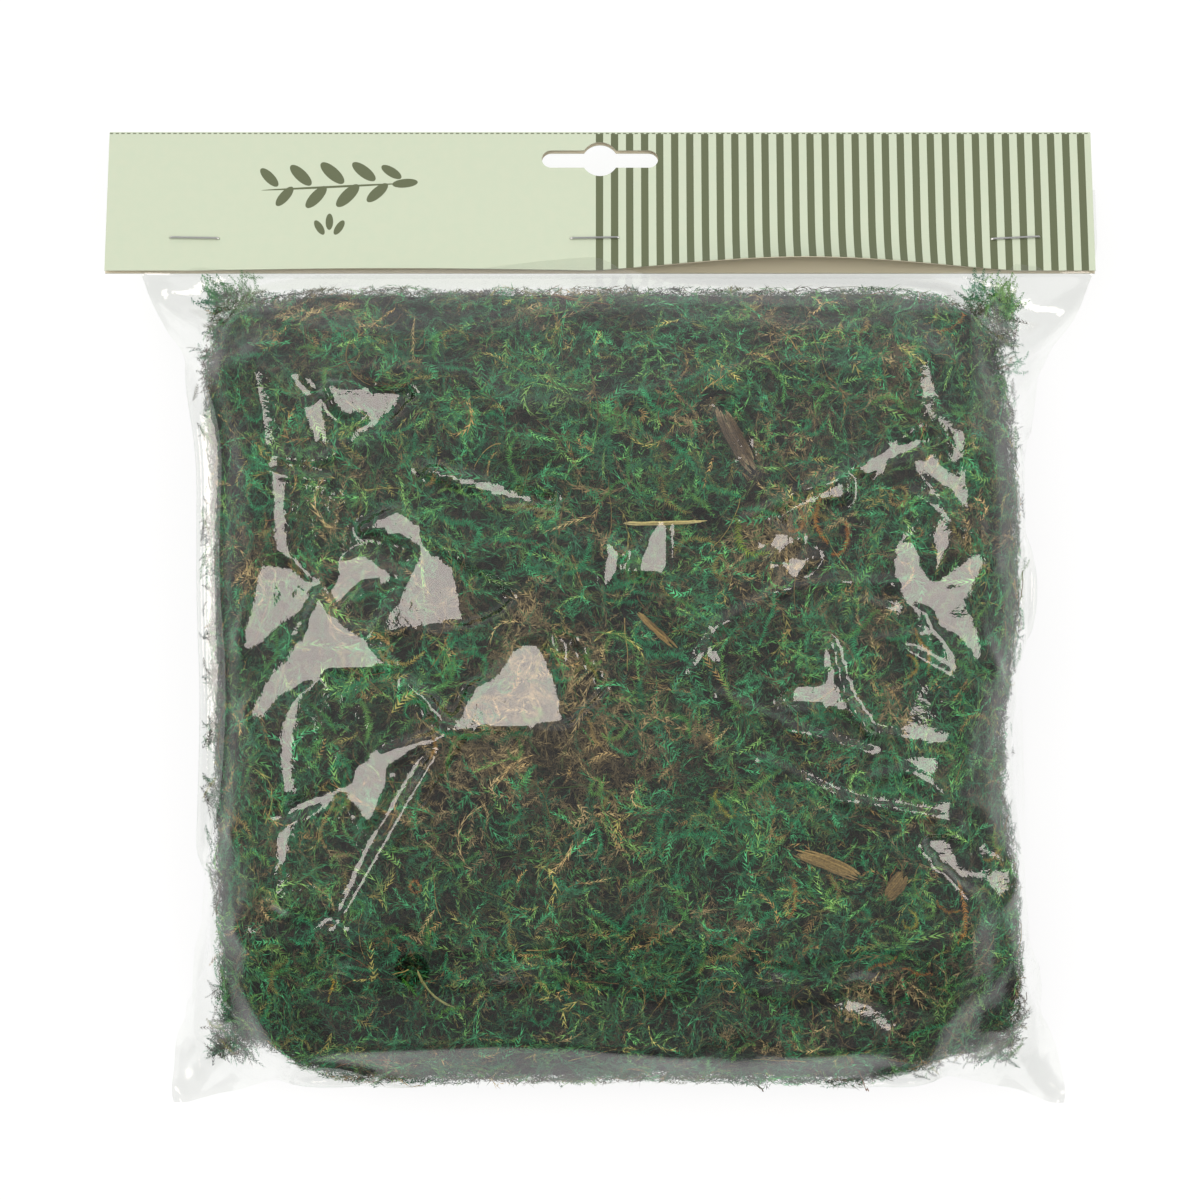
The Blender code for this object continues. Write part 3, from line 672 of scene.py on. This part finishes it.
# Fine raised fold lines: x, y to x, y and height.
FOLD_LINES = [
    (23, -15, 29.5, -3.5, 0.8), (29.5, -3.5, 44.5, 5, 0.8), (44.5, 5, 59, 7, 0.8), (59, 7, 71.5, 6, 0.8),
    (40, -37, 60.5, -47, 0.8), (60.5, -47, 87.5, -52, 0.8), (66.5, -30, 85, -33, 0.7),
    (85, -33, 89.5, -29, 0.7), (29.5, -21, 49, -30, 0.8), (49, -30, 66.5, -35.5, 0.8),
    (66.5, -41.5, 75, -39.5, 0.8),
    (75, -39.5, 96.5, -50.5, 0.9), (35.5, 22, 60.5, 34.5, 0.7), (77, 28.5, 92.5, 19, 0.7),
    (63, 2.5, 71.5, 0, 0.6), (67.5, -7.5, 79, -6, 0.6), (75, -10, 96, -22, 0.8), (-69, 37, -81.5, 38, 0.7),
    (-88.5, 34.5, -66.5, 32, 0.6), (-77.5, -61.5, -88.5, -71.5, 0.6), (-37, -29.5, -63, -75, 1.0),
]
# The film lies close only where the moss slopes less than this, and is free for this many cells by a facet.
GENTLE = 0.35
FREE_BAND = 2

bm = welded(cad_moss, FROND_ROOM)
swollen = BVHTree.FromBMesh(bm)
bm.free()
under_film = heights_of(swollen, True)
over_film = heights_of(swollen, False)
grid_y, grid_x = np.mgrid[0 : under_film.shape[0], 0 : under_film.shape[1]] * STEP - GRID_HALF


def inside(outline):
    """The grid points inside an outline."""
    found = np.zeros(grid_x.shape, bool)
    for (x0, y0), (x1, y1) in zip(outline, outline[1:] + outline[:1]):
        spans = (y0 > grid_y) != (y1 > grid_y)
        found ^= spans & (grid_x < (x1 - x0) * (grid_y - y0) / (y1 - y0 + 1e-9) + x0)
    return found


def fold_height(x, y):
    """The height of the fine raised folds at these places."""
    found = np.zeros(x.shape)
    for x0, y0, x1, y1, lift in FOLD_LINES:
        run_x, run_y = x1 - x0, y1 - y0
        share = np.clip(((x - x0) * run_x + (y - y0) * run_y) / (run_x**2 + run_y**2), 0, 1)
        found += np.maximum(lift - 0.33 * np.hypot(x - x0 - share * run_x, y - y0 - share * run_y), 0)
    return found


# The film's rise over the moss, as the surface whose slopes come closest to the facets' own.
on_pad = np.isfinite(under_film)
base = np.where(on_pad, under_film, 0)
slope_y, slope_x = np.gradient(base, STEP)
steep = np.hypot(slope_x, slope_y)
gentle = on_pad & (steep < GENTLE)
ease = np.where(gentle, np.maximum(1 - 0.09 / (steep + 1e-6), 0), 0)
want_x, want_y = -slope_x * ease, -slope_y * ease
trust = np.where(gentle, 8.0, 0.3)
facets = [(inside(outline), lean) for lean, outlines in FACETS.items() for outline in outlines]
grown = faceted = np.any([mask for mask, _ in facets], 0)
for turn in range(FREE_BAND):
    wider = grown.copy()
    for axis in (0, 1):
        wider |= np.roll(grown, 1, axis) | np.roll(grown, -1, axis)
    grown = wider
trust = np.where(grown & ~faceted, 0.02, trust)
for mask, (lean_x, lean_y) in facets:
    want_x, want_y = np.where(mask, lean_x - slope_x, want_x), np.where(mask, lean_y - slope_y, want_y)
    trust = np.where(mask, 40.0, trust)
trust_x, trust_y = (trust[:, 1:] + trust[:, :-1]) / 2, (trust[1:] + trust[:-1]) / 2
step_x, step_y = (want_x[:, 1:] + want_x[:, :-1]) / 2 * STEP, (want_y[1:] + want_y[:-1]) / 2 * STEP
rise = np.zeros_like(base)
total = np.zeros_like(base)
total[:, 1:] += trust_x
total[:, :-1] += trust_x
total[1:] += trust_y
total[:-1] += trust_y
for turn in range(6000):
    summed = np.zeros_like(base)
    summed[:, 1:] += trust_x * (rise[:, :-1] + step_x)
    summed[:, :-1] += trust_x * (rise[:, 1:] - step_x)
    summed[1:] += trust_y * (rise[:-1] + step_y)
    summed[:-1] += trust_y * (rise[1:] - step_y)
    rise = np.where(on_pad, rise + 0.95 * (summed / total - rise), 0)
rise = np.maximum(rise - np.percentile(rise[gentle], 1), 0)
folded = under_film + rise + fold_height(grid_x, grid_y)
pressed = gentle.astype(float)


def pull(points, first, second, rest, press, stretch):
    """Moves each pair of points towards its rest length, less strongly where it is pressed."""
    gap = points[second] - points[first]
    length = np.sqrt((gap * gap).sum(-1, keepdims=True)) + 1e-9
    strength = np.where(length < rest, press, stretch)
    move = gap * (0.5 * strength * (length - rest) / length)
    points[first] += move
    points[second] -= move


def link_sets(rows, columns, down, right):
    """All pairs (r, c) to (r + down, c + right), in two sets that share no point."""
    r, c = np.mgrid[0 : rows - down, max(0, -right) : columns - max(0, right)]
    r, c = r.ravel(), c.ravel()
    phase = (r // down) % 2 if down else (c // right) % 2
    for side in (0, 1):
        a, b = r[phase == side], c[phase == side]
        yield (slice(None), a, b), (slice(None), a + down, b + right)


def settle(points, turns, cell_x, cell_y, bend):
    """Lets both walls come to rest on the moss and the floor."""
    _, rows, columns, _ = points.shape
    links = []
    for down, right, press, stretch in (
        (0, 1, 0.55, 1.0), (1, 0, 0.55, 1.0), (1, 1, 0.35, 0.8), (1, -1, 0.35, 0.8),
        (0, 2, bend, 0.0), (2, 0, bend, 0.0), (0, 4, bend, 0.0), (4, 0, bend, 0.0),
    ):
        rest = math.hypot(down * cell_y, right * cell_x)
        for first, second in link_sets(rows, columns, down, right):
            links.append((first, second, rest, press, stretch))
    held = int(round(HELD_LENGTH / cell_y)) + 1
    kept = points[:, :held].copy()
    for turn in range(turns):
        points[..., 2] -= GRAVITY
        for link in links:
            pull(points, *link)
        for edge in (np.s_[:, :, 0], np.s_[:, :, -1], np.s_[:, -1, :]):
            points[edge] = points[edge].mean(0)
        x, y, z = points[..., 0], points[..., 1], points[..., 2]
        rest_on = read_grid(folded, x[0], y[0])
        z[0] = np.fmax(z[0], rest_on)
        z[0] = np.where(read_grid(pressed, x[0], y[0]) > 0.7, np.fmin(z[0], rest_on + 0.25), z[0])
        z[1] = np.fmin(z[1], read_grid(over_film, x[1], y[1]))
        np.maximum(z, FLOOR_GAP, out=z)
        middle = (z[0] + z[1]) / 2
        crossed = z[0] < z[1]
        for wall in (0, 1):
            z[wall] = np.where(crossed, middle, z[wall])
        points[:, :held] = kept


def refine(points, rows, columns):
    """The same walls on a finer grid, straight between the points."""
    _, old_rows, old_columns, _ = points.shape
    row = np.linspace(0, old_rows - 1.0001, rows)
    column = np.linspace(0, old_columns - 1.0001, columns)
    i, j = row.astype(int), column.astype(int)
    down, right = (row - i)[None, :, None, None], (column - j)[None, None, :, None]
    upper = points[:, i] * (1 - down) + points[:, i + 1] * down
    return upper[:, :, j] * (1 - right) + upper[:, :, j + 1] * right


draw = np.random.default_rng(7)
across = np.linspace(0, 1, 32)
along = np.linspace(0, FLAT_LENGTH, 33)
walls = np.zeros((2, len(along), len(across), 3))
for row, distance in enumerate(along):
    share = max(0.0, (distance - HELD_LENGTH) / (FLAT_LENGTH - HELD_LENGTH))
    y = MOUTH_Y - min(distance, HELD_LENGTH) * math.cos(CARD_SLOPE) - share * 202
    held_z = 17.8 + min(distance, HELD_LENGTH) * math.sin(CARD_SLOPE)
    width = FLAT_WIDTH * (1 - 0.13 * math.sin(math.pi * share) ** 0.5)
    x = 4.3 + (across - 0.5) * width
    full = (1 - np.abs(2 * across - 1) ** 2.6) ** 0.45 * math.sin(math.pi * share) ** 0.5
    middle = held_z + (11 - held_z) * share**2
    walls[0, row] = np.stack([x, np.full_like(x, y), middle + 0.3 + 30 * full], -1)
    walls[1, row] = np.stack([x, np.full_like(x, y), middle - 0.3 - 24 * full], -1)
held_rows = int(round(HELD_LENGTH / (FLAT_LENGTH / 32))) + 1
walls[:, held_rows:, 1:-1, 2] += draw.normal(0, 1.0, walls[:, held_rows:, 1:-1, 2].shape)
# Rows, columns, turns and stiffness of each grid, from coarse to fine.
LEVELS = ((33, 32, 400, 0.3), (65, 62, 400, 0.15), (128, 122, 350, 0.05))
pace = 1.0
for rows, columns, turns, bend in LEVELS:
    walls = refine(walls, rows, columns)
    settle(walls, int(turns * pace), FLAT_WIDTH / (columns - 1), FLAT_LENGTH / (rows - 1), bend)

# The walls are drawn out finer, and the front one takes up the facets' own heights over the moss.
FINE_ROWS, FINE_COLUMNS = 306, 300
walls = refine(walls, FINE_ROWS, FINE_COLUMNS)
for turn in range(4):
    inner = walls[:, 1:-1, 1:-1]
    along_sum = walls[:, 2:, 1:-1] + walls[:, :-2, 1:-1]
    across_sum = walls[:, 1:-1, 2:] + walls[:, 1:-1, :-2]
    walls[:, 1:-1, 1:-1] = (inner * 4 + along_sum + across_sum) / 8
for turn in range(3):
    for axis in (0, 1):
        pressed = (np.roll(pressed, 1, axis) + pressed + np.roll(pressed, -1, axis)) / 3
x, y, z = walls[0, ..., 0], walls[0, ..., 1], walls[0, ..., 2]
share = np.clip(read_grid(pressed, x, y) * 2 - 1, 0, 1)
ridges = fold_height(x, y) + 0.1
z[...] = np.where(share > 0, z + (read_grid(under_film + rise, x, y) + ridges - z) * share, z)

film, tree = new_material("clear_polypropylene_film")
slant = add_node(tree, "ShaderNodeLayerWeight", Blend=0.5).outputs["Facing"]
rim = add_node(tree, "ShaderNodeMath", {"operation": "POWER"}, _0=slant, _1=4.5)
share = add_node(tree, "ShaderNodeMapRange", Value=rim.outputs[0], _1=0.0, _2=1.0, _3=0.10, _4=1.0)
clear = add_node(tree, "ShaderNodeBsdfTransparent", Color=(0.98, 0.985, 0.975, 1))
place = add_node(tree, "ShaderNodeTexCoord").outputs["Object"]
ripple = add_node(tree, "ShaderNodeTexNoise", Vector=place, Scale=260.0, Detail=3.0, Roughness=0.6)
ripples = add_node(tree, "ShaderNodeBump", Height=ripple.outputs["Fac"], Strength=1.0, Distance=0.16 * MM)
gloss = add_node(
    tree, "ShaderNodeBsdfAnisotropic", Color=(1, 1, 1, 1), Roughness=0.04, Normal=ripples.outputs[0]
)
mix = add_node(tree, "ShaderNodeMixShader", _0=share.outputs[0], _1=clear.outputs[0], _2=gloss.outputs[0])
add_node(tree, "ShaderNodeOutputMaterial", Surface=mix.outputs[0])

wall_trees = []
for name, points in (("film_front", walls[0]), ("film_back", walls[1])):
    rows, columns, _ = points.shape
    bm = bmesh.new()
    bmesh.ops.create_grid(bm, x_segments=columns - 1, y_segments=rows - 1, size=1)
    for vert in bm.verts:
        row = int(round((1 - vert.co.y) / 2 * (rows - 1)))
        column = int(round((vert.co.x + 1) / 2 * (columns - 1)))
        vert.co = points[row, column] * MM
    wall_trees.append(BVHTree.FromBMesh(bm))
    if name == "film_back":
        bmesh.ops.reverse_faces(bm, faces=bm.faces)
    else:
        # The vent is punched through the front wall only.
        centre = Vector(VENT[:2])
        inside = [v for v in bm.verts if (v.co.xy / MM - centre).length < VENT[2] - 0.4]
        bmesh.ops.delete(bm, geom=inside, context="VERTS")
        for vert in bm.verts:
            out = vert.co.xy / MM - centre
            if vert.is_boundary and out.length < VENT[2] + 3:
                vert.co.xy = (centre + out.normalized() * VENT[2]) * MM
    mesh = bpy.data.meshes.new(name)
    bm.to_mesh(mesh)
    bm.free()
    mesh.shade_smooth()
    piece = add_piece(name, mesh, film, "clear_film", "bag")

# --- Stray tufts: shoots that stick out of the clump's edges and corners into the slack of the film.
# The two walls of the bag hold them flat between them.
EDGE_SHOOTS = 3400
# The clump's corners: x, y and how far in their shoots start.
CORNERS = [(-98, 80, 13), (105, 79, 12), (-99, -114, 12), (106, -115, 11)]
CORNER_SHOOTS = 260
TUFTS = [
    # x, y, spread, heading in degrees, count, length, colour
    (-96, 80, 1.6, 140, 34, 8, "3E7A42"), (-98, 77, 1.2, 172, 14, 7, "1F6A48"),
    (-89, 80, 2.2, 110, 40, 6, "4A7A40"), (-99, 60, 3.2, 195, 90, 6, "4A3A28"),
    (101, 79, 2.0, 80, 60, 7, "6C9A4C"), (97, 80, 2.5, 100, 50, 6, "2A7A50"),
    (104, 76, 1.5, 60, 20, 7, "4E8A4A"), (106, 62, 2.0, 20, 26, 6, "2A7A50"),
    (108, 45, 2.5, 0, 40, 5, "33482C"),
]
draw = np.random.default_rng(23)
soft_pad = on_pad.astype(float)
for turn in range(6):
    for axis in (0, 1):
        soft_pad = (np.roll(soft_pad, 1, axis) + soft_pad + np.roll(soft_pad, -1, axis)) / 3
away_y, away_x = np.gradient(-soft_pad)
rim_places = np.argwhere((soft_pad > 0.5) & (soft_pad < 0.78))
chosen = rim_places[draw.integers(0, len(rim_places), EDGE_SHOOTS)]
edge_plan = np.stack([grid_x[chosen[:, 0], chosen[:, 1]], grid_y[chosen[:, 0], chosen[:, 1]]], -1)
edge_plan = edge_plan + draw.normal(0, 0.8, edge_plan.shape)
edge_heading = np.arctan2(away_y[chosen[:, 0], chosen[:, 1]], away_x[chosen[:, 0], chosen[:, 1]])
plans = [edge_plan]
headings = [edge_heading + draw.normal(0, 0.8, EDGE_SHOOTS)]
lengths = [draw.uniform(3, 7, EDGE_SHOOTS)]
tints = [pick_colours(GREENS + DARKS, EDGE_SHOOTS, draw)]
for x, y, reach in CORNERS:
    inward = np.array([-np.sign(x), -np.sign(y)])
    plans.append(np.array([x, y]) + draw.random((CORNER_SHOOTS, 2)) * inward * reach)
    headings.append(draw.uniform(0, 2 * math.pi, CORNER_SHOOTS))
    lengths.append(draw.uniform(4, 8, CORNER_SHOOTS))
    tints.append(pick_colours(GREENS + DARKS, CORNER_SHOOTS, draw))
for x, y, spread, heading, count, length, tone in TUFTS:
    plans.append(np.array([x, y]) + draw.normal(0, spread, (count, 2)))
    headings.append(np.radians(heading) + draw.normal(0, 0.35, count))
    lengths.append(length * draw.uniform(0.6, 1.1, count))
    tints.append(np.array([linear(tone)] * count) * draw.uniform(0.7, 1.3, (count, 1)))
plans, headings, lengths, tints = (np.concatenate(part) for part in (plans, headings, lengths, tints))
count = len(plans)
# Painted light: the stray shoots are lifted a quarter in colour, against the shade they lie in at the clump's
# edges.
tints[:, :3] *= 1.25
clumps = np.array([noise.noise(Vector((x, y, 0)) / 7) for x, y in plans])
kept = (clumps > -0.05) & (plans[:, 1] < 74)
kept[EDGE_SHOOTS:] = True
roots = np.concatenate([plans, np.zeros((count, 1))], 1)
upright = np.tile([0.0, 0, 1], (count, 1))
stem = bent_stems(roots, upright, headings - math.pi / 2, lengths, draw.normal(0, 1.0, count), draw, 8)
heights = np.full(stem.shape[:2] + (2,), np.nan)
for (i, k), _ in np.ndenumerate(heights[..., 0]):
    spot_x, spot_y = stem[i, k, 0] * MM, stem[i, k, 1] * MM
    over = wall_trees[0].ray_cast(Vector((spot_x, spot_y, 0.2)), Vector((0, 0, -1)))[0]
    below = wall_trees[1].ray_cast(Vector((spot_x, spot_y, -0.2)), Vector((0, 0, 1)))[0]
    if over and below:
        heights[i, k] = over.z / MM, below.z / MM
gap = heights[..., 0] - heights[..., 1]
room = np.isfinite(gap).all(1) & (np.nan_to_num(gap, nan=-1).min(1) > 1.2)
level = np.where(draw.random(count) < 0.6, draw.uniform(0.6, 1.0, count), draw.uniform(0.0, 1.0, count))
stem[..., 2] = heights[..., 1] + 0.5 + (gap - 1.1) * level[:, None]
stem[..., 2] = np.minimum(stem[..., 2], heights[..., 0] - 0.6)
level_run = np.abs(np.diff(np.nan_to_num(stem[..., 2], nan=99.0), axis=1)).max(1) < 0.9
stem, tints = stem[room & kept & level_run], tints[room & kept & level_run]
up = np.broadcast_to([0.0, 0, 1], stem.shape)
strays = frond_mesh("stray_tufts", stem, up, draw.uniform(0.9, 1.6, len(stem)), tints, draw)
add_piece("stray_tufts", strays, dyed, "dried_moss", "moss_clump")

# --- Header card: one strip of pale green coated board, creased over the bag's mouth and stapled.
# A hanging slot is punched through both flaps. The front flap bows up between two of the staples.
CARD_HALF = 125.0
CARD_DEPTH = 38.5
CARD_THICK = 0.35
FOLD_OUTER = 1.1
FOLD_Y, FOLD_Z = 121.9, 13.0
# The slot's distance from the crease, half length, half height of its arms and radius of its eye.
SLOT = (8.3, 14.8, 2.4, 4.7)
STAPLES_X = (-102.5, -1.3, 105.0)
BOW_START = 24.0
# The front flap's bows: from x, to x, degrees.
BOWS = ((STAPLES_X[0], STAPLES_X[1], 10), (STAPLES_X[1], STAPLES_X[2], 45))


def card_place(x, s, lift):
    """Folds a place on the flat card: across, down from the crease (front flap positive), off mid-board."""
    radius = FOLD_OUTER - CARD_THICK / 2
    arc = min(abs(s) / radius, math.pi / 2)
    down = FOLD_OUTER - (radius + lift) * math.cos(arc)
    up = (radius + lift) * math.sin(arc)
    straight = abs(s) - radius * math.pi / 2
    if straight > 0:
        curl = 0.0
        flat_run = straight
        if s > BOW_START:
            most = 0.0
            for left, right, degrees in BOWS:
                if left < x < right:
                    most = math.radians(degrees) * math.sin(math.pi * (x - left) / (right - left))
            run = s - BOW_START
            reach = CARD_DEPTH - BOW_START
            curl = most * run / reach
            flat_run = straight - run
            if curl > 1e-6:
                bend_radius = run / curl
                flat_run += bend_radius * math.sin(curl)
                up += bend_radius * (1 - math.cos(curl))
            else:
                flat_run += run
        down = FOLD_OUTER + flat_run - lift * math.sin(curl)
        up += lift * (math.cos(curl) - 1)
    up = up if s > 0 else -up
    cos, sin = math.cos(CARD_SLOPE), math.sin(CARD_SLOPE)
    return Vector((x, FOLD_Y - down * cos + up * sin, FOLD_Z + down * sin + up * cos)) * MM


flap = CARD_DEPTH - FOLD_OUTER + (FOLD_OUTER - CARD_THICK / 2) * math.pi / 2
bm = bmesh.new()
bmesh.ops.create_grid(bm, x_segments=100, y_segments=96, size=1)
for vert in bm.verts:
    vert.co = (vert.co.x * CARD_HALF, -vert.co.y * flap, CARD_THICK / 2)
bmesh.ops.reverse_faces(bm, faces=bm.faces)
card_mesh = bpy.data.meshes.new("card_flat")
bm.to_mesh(card_mesh)
bm.free()
card_flat = bpy.data.objects.new("card_flat", card_mesh)
scene.collection.objects.link(card_flat)
thick = card_flat.modifiers.new("thick", "SOLIDIFY")
thick.thickness, thick.offset = CARD_THICK, -1
for flap_side in (1, -1):
    down, reach, arm, eye = SLOT
    outline = []
    joint = math.asin(arm / eye)
    for start, end, x0, radius in (
        (-math.pi / 2, math.pi / 2, reach - arm, arm), (joint, math.pi - joint, 0, eye),
        (math.pi / 2, 3 * math.pi / 2, arm - reach, arm), (math.pi + joint, 2 * math.pi - joint, 0, eye),
    ):
        for k in range(17):
            angle = start + (end - start) * k / 16
            outline.append((x0 + radius * math.cos(angle), flap_side * down + radius * math.sin(angle)))
    bm = bmesh.new()
    ring = [bm.verts.new((x, y, -2)) for x, y in outline]
    bottom = bm.faces.new(ring)
    grown = bmesh.ops.extrude_face_region(bm, geom=[bottom])
    raised = [g for g in grown["geom"] if isinstance(g, bmesh.types.BMVert)]
    bmesh.ops.translate(bm, verts=raised, vec=(0, 0, 4))
    bmesh.ops.recalc_face_normals(bm, faces=bm.faces)
    cutter_mesh = bpy.data.meshes.new("slot_cutter")
    bm.to_mesh(cutter_mesh)
    bm.free()
    cutter = bpy.data.objects.new("slot_cutter", cutter_mesh)
    scene.collection.objects.link(cutter)
    cut = card_flat.modifiers.new("slot", "BOOLEAN")
    cut.object, cut.solver, cut.operation = cutter, "EXACT", "DIFFERENCE"
bpy.context.view_layer.update()
card_mesh = bpy.data.meshes.new_from_object(card_flat.evaluated_get(bpy.context.evaluated_depsgraph_get()))
card_mesh.name = "folded_card"
for helper in [card_flat] + [m.object for m in card_flat.modifiers if m.type == "BOOLEAN"]:
    bpy.data.objects.remove(helper)
flat_places = card_mesh.attributes.new("flat_mm", "FLOAT_VECTOR", "POINT")
for vert, flat in zip(card_mesh.vertices, flat_places.data):
    flat.vector = vert.co
    vert.co = card_place(vert.co.x, vert.co.y, vert.co.z)
card_mesh.update()

# The print: olive stripes over the right half, a dashed line along the crease and a leafy sprig.
STRIPE_START, STRIPE_PITCH, STRIPE_WIDTH = -1.06, 3.83, 1.87
STRIPE_TOP = 1.35
DASH_PITCH, DASH_LENGTH, DASH_FROM, DASH_TO = 1.47, 0.85, 1.05, 1.35
LEAVES = [
    # x, down, length, width, turn in degrees
    (-68, 16.0, 36, 0.6, -3), (-84, 13.4, 6.5, 2.6, 48), (-80, 18.6, 6.5, 2.6, -52),
    (-76, 12.8, 7.5, 3.0, 46), (-72, 18.8, 7.5, 3.0, -50), (-68, 12.2, 8, 3.2, 44),
    (-64, 18.4, 8, 3.2, -48), (-60, 11.8, 7.5, 3.0, 40), (-56.5, 17.6, 7, 2.8, -44),
    (-53, 11.9, 6, 2.5, 34), (-49.5, 15.0, 6.5, 2.4, -6),
    (-71, 27.2, 4.5, 1.9, 60), (-66, 27.2, 4.5, 1.9, -60), (-68.5, 25.6, 4.5, 1.9, 90),
]
board, tree = new_material("printed_coated_board")
flat = add_node(tree, "ShaderNodeAttribute", {"attribute_name": "flat_mm"}).outputs["Vector"]
parts = add_node(tree, "ShaderNodeSeparateXYZ", _0=flat)


def count_on(operation, first, second=0.0, clamp=False):
    """A sum on the card's plan."""
    return add_node(
        tree, "ShaderNodeMath", {"operation": operation, "use_clamp": clamp}, _0=first, _1=second
    ).outputs[0]


def within(value, low, high):
    """1 where the value lies between two limits."""
    return count_on("MULTIPLY", count_on("GREATER_THAN", value, low), count_on("LESS_THAN", value, high))


x, down = parts.outputs["X"], parts.outputs["Y"]
from_start = count_on("SUBTRACT", x, STRIPE_START)
wrapped = count_on("MODULO", count_on("ADD", from_start, 100 * STRIPE_PITCH), STRIPE_PITCH)
stripe = count_on("LESS_THAN", wrapped, STRIPE_WIDTH)
stripe = count_on("MULTIPLY", stripe, within(x, STRIPE_START - 0.01, 200.0))
stripe = count_on("MULTIPLY", stripe, count_on("GREATER_THAN", down, STRIPE_TOP))
wrapped = count_on("MODULO", count_on("ADD", x, 200 * DASH_PITCH), DASH_PITCH)
dash = count_on("MULTIPLY", count_on("LESS_THAN", wrapped, DASH_LENGTH), within(down, DASH_FROM, DASH_TO))
ink = count_on("MAXIMUM", stripe, dash)
for leaf_x, leaf_down, leaf_length, leaf_width, turn in LEAVES:
    inner = add_node(
        tree, "ShaderNodeMapping", {"vector_type": "TEXTURE"}, Vector=flat, Location=(leaf_x, leaf_down, 0),
        Rotation=(0, 0, math.radians(turn)), Scale=(leaf_length / 2, leaf_width / 2, 1000),
    )
    away = add_node(tree, "ShaderNodeVectorMath", {"operation": "LENGTH"}, _0=inner.outputs[0])
    ink = count_on("MAXIMUM", ink, count_on("LESS_THAN", away.outputs["Value"], 1.0))
front = count_on("GREATER_THAN", parts.outputs["Z"], 0.0)
ink = count_on("MULTIPLY", ink, front)
uncoated = linear("CFC7B0")
speckle = add_node(tree, "ShaderNodeTexNoise", Vector=flat, Scale=0.35, Detail=2.0)


def blend_colours(share, first, second):
    """The first colour where share is 0, the second where it is 1."""
    return add_node(
        tree, "ShaderNodeMix", {"data_type": "RGBA"}, _0=share, _6=first, _7=second
    ).outputs[2]


paper_tone = blend_colours(speckle.outputs["Fac"], linear("BDC9B2"), linear("C4CBB4"))
sided = blend_colours(front, uncoated, paper_tone)
printed = blend_colours(ink, sided, linear("60674D"))
shade = add_node(tree, "ShaderNodeBsdfPrincipled", Base_Color=printed, Roughness=0.45)
shade.inputs["Specular IOR Level"].default_value = 0.3
add_node(tree, "ShaderNodeOutputMaterial", Surface=shade.outputs[0])
add_piece("folded_card", card_mesh, board, "printed_card", "header_card")

# --- Staples: three galvanised steel wires through card and film, clinched behind.
# They keep the CAD's own shape; only the metal is added.
steel, tree = new_material("galvanised_steel_wire")
shade = add_node(tree, "ShaderNodeBsdfPrincipled", Base_Color=linear("C9CACA"), Metallic=1.0, Roughness=0.3)
add_node(tree, "ShaderNodeOutputMaterial", Surface=shade.outputs[0])
for name in ("staple_left", "staple_middle", "staple_right"):
    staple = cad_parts[name]
    staple.data.materials.clear()
    staple.data.materials.append(steel)
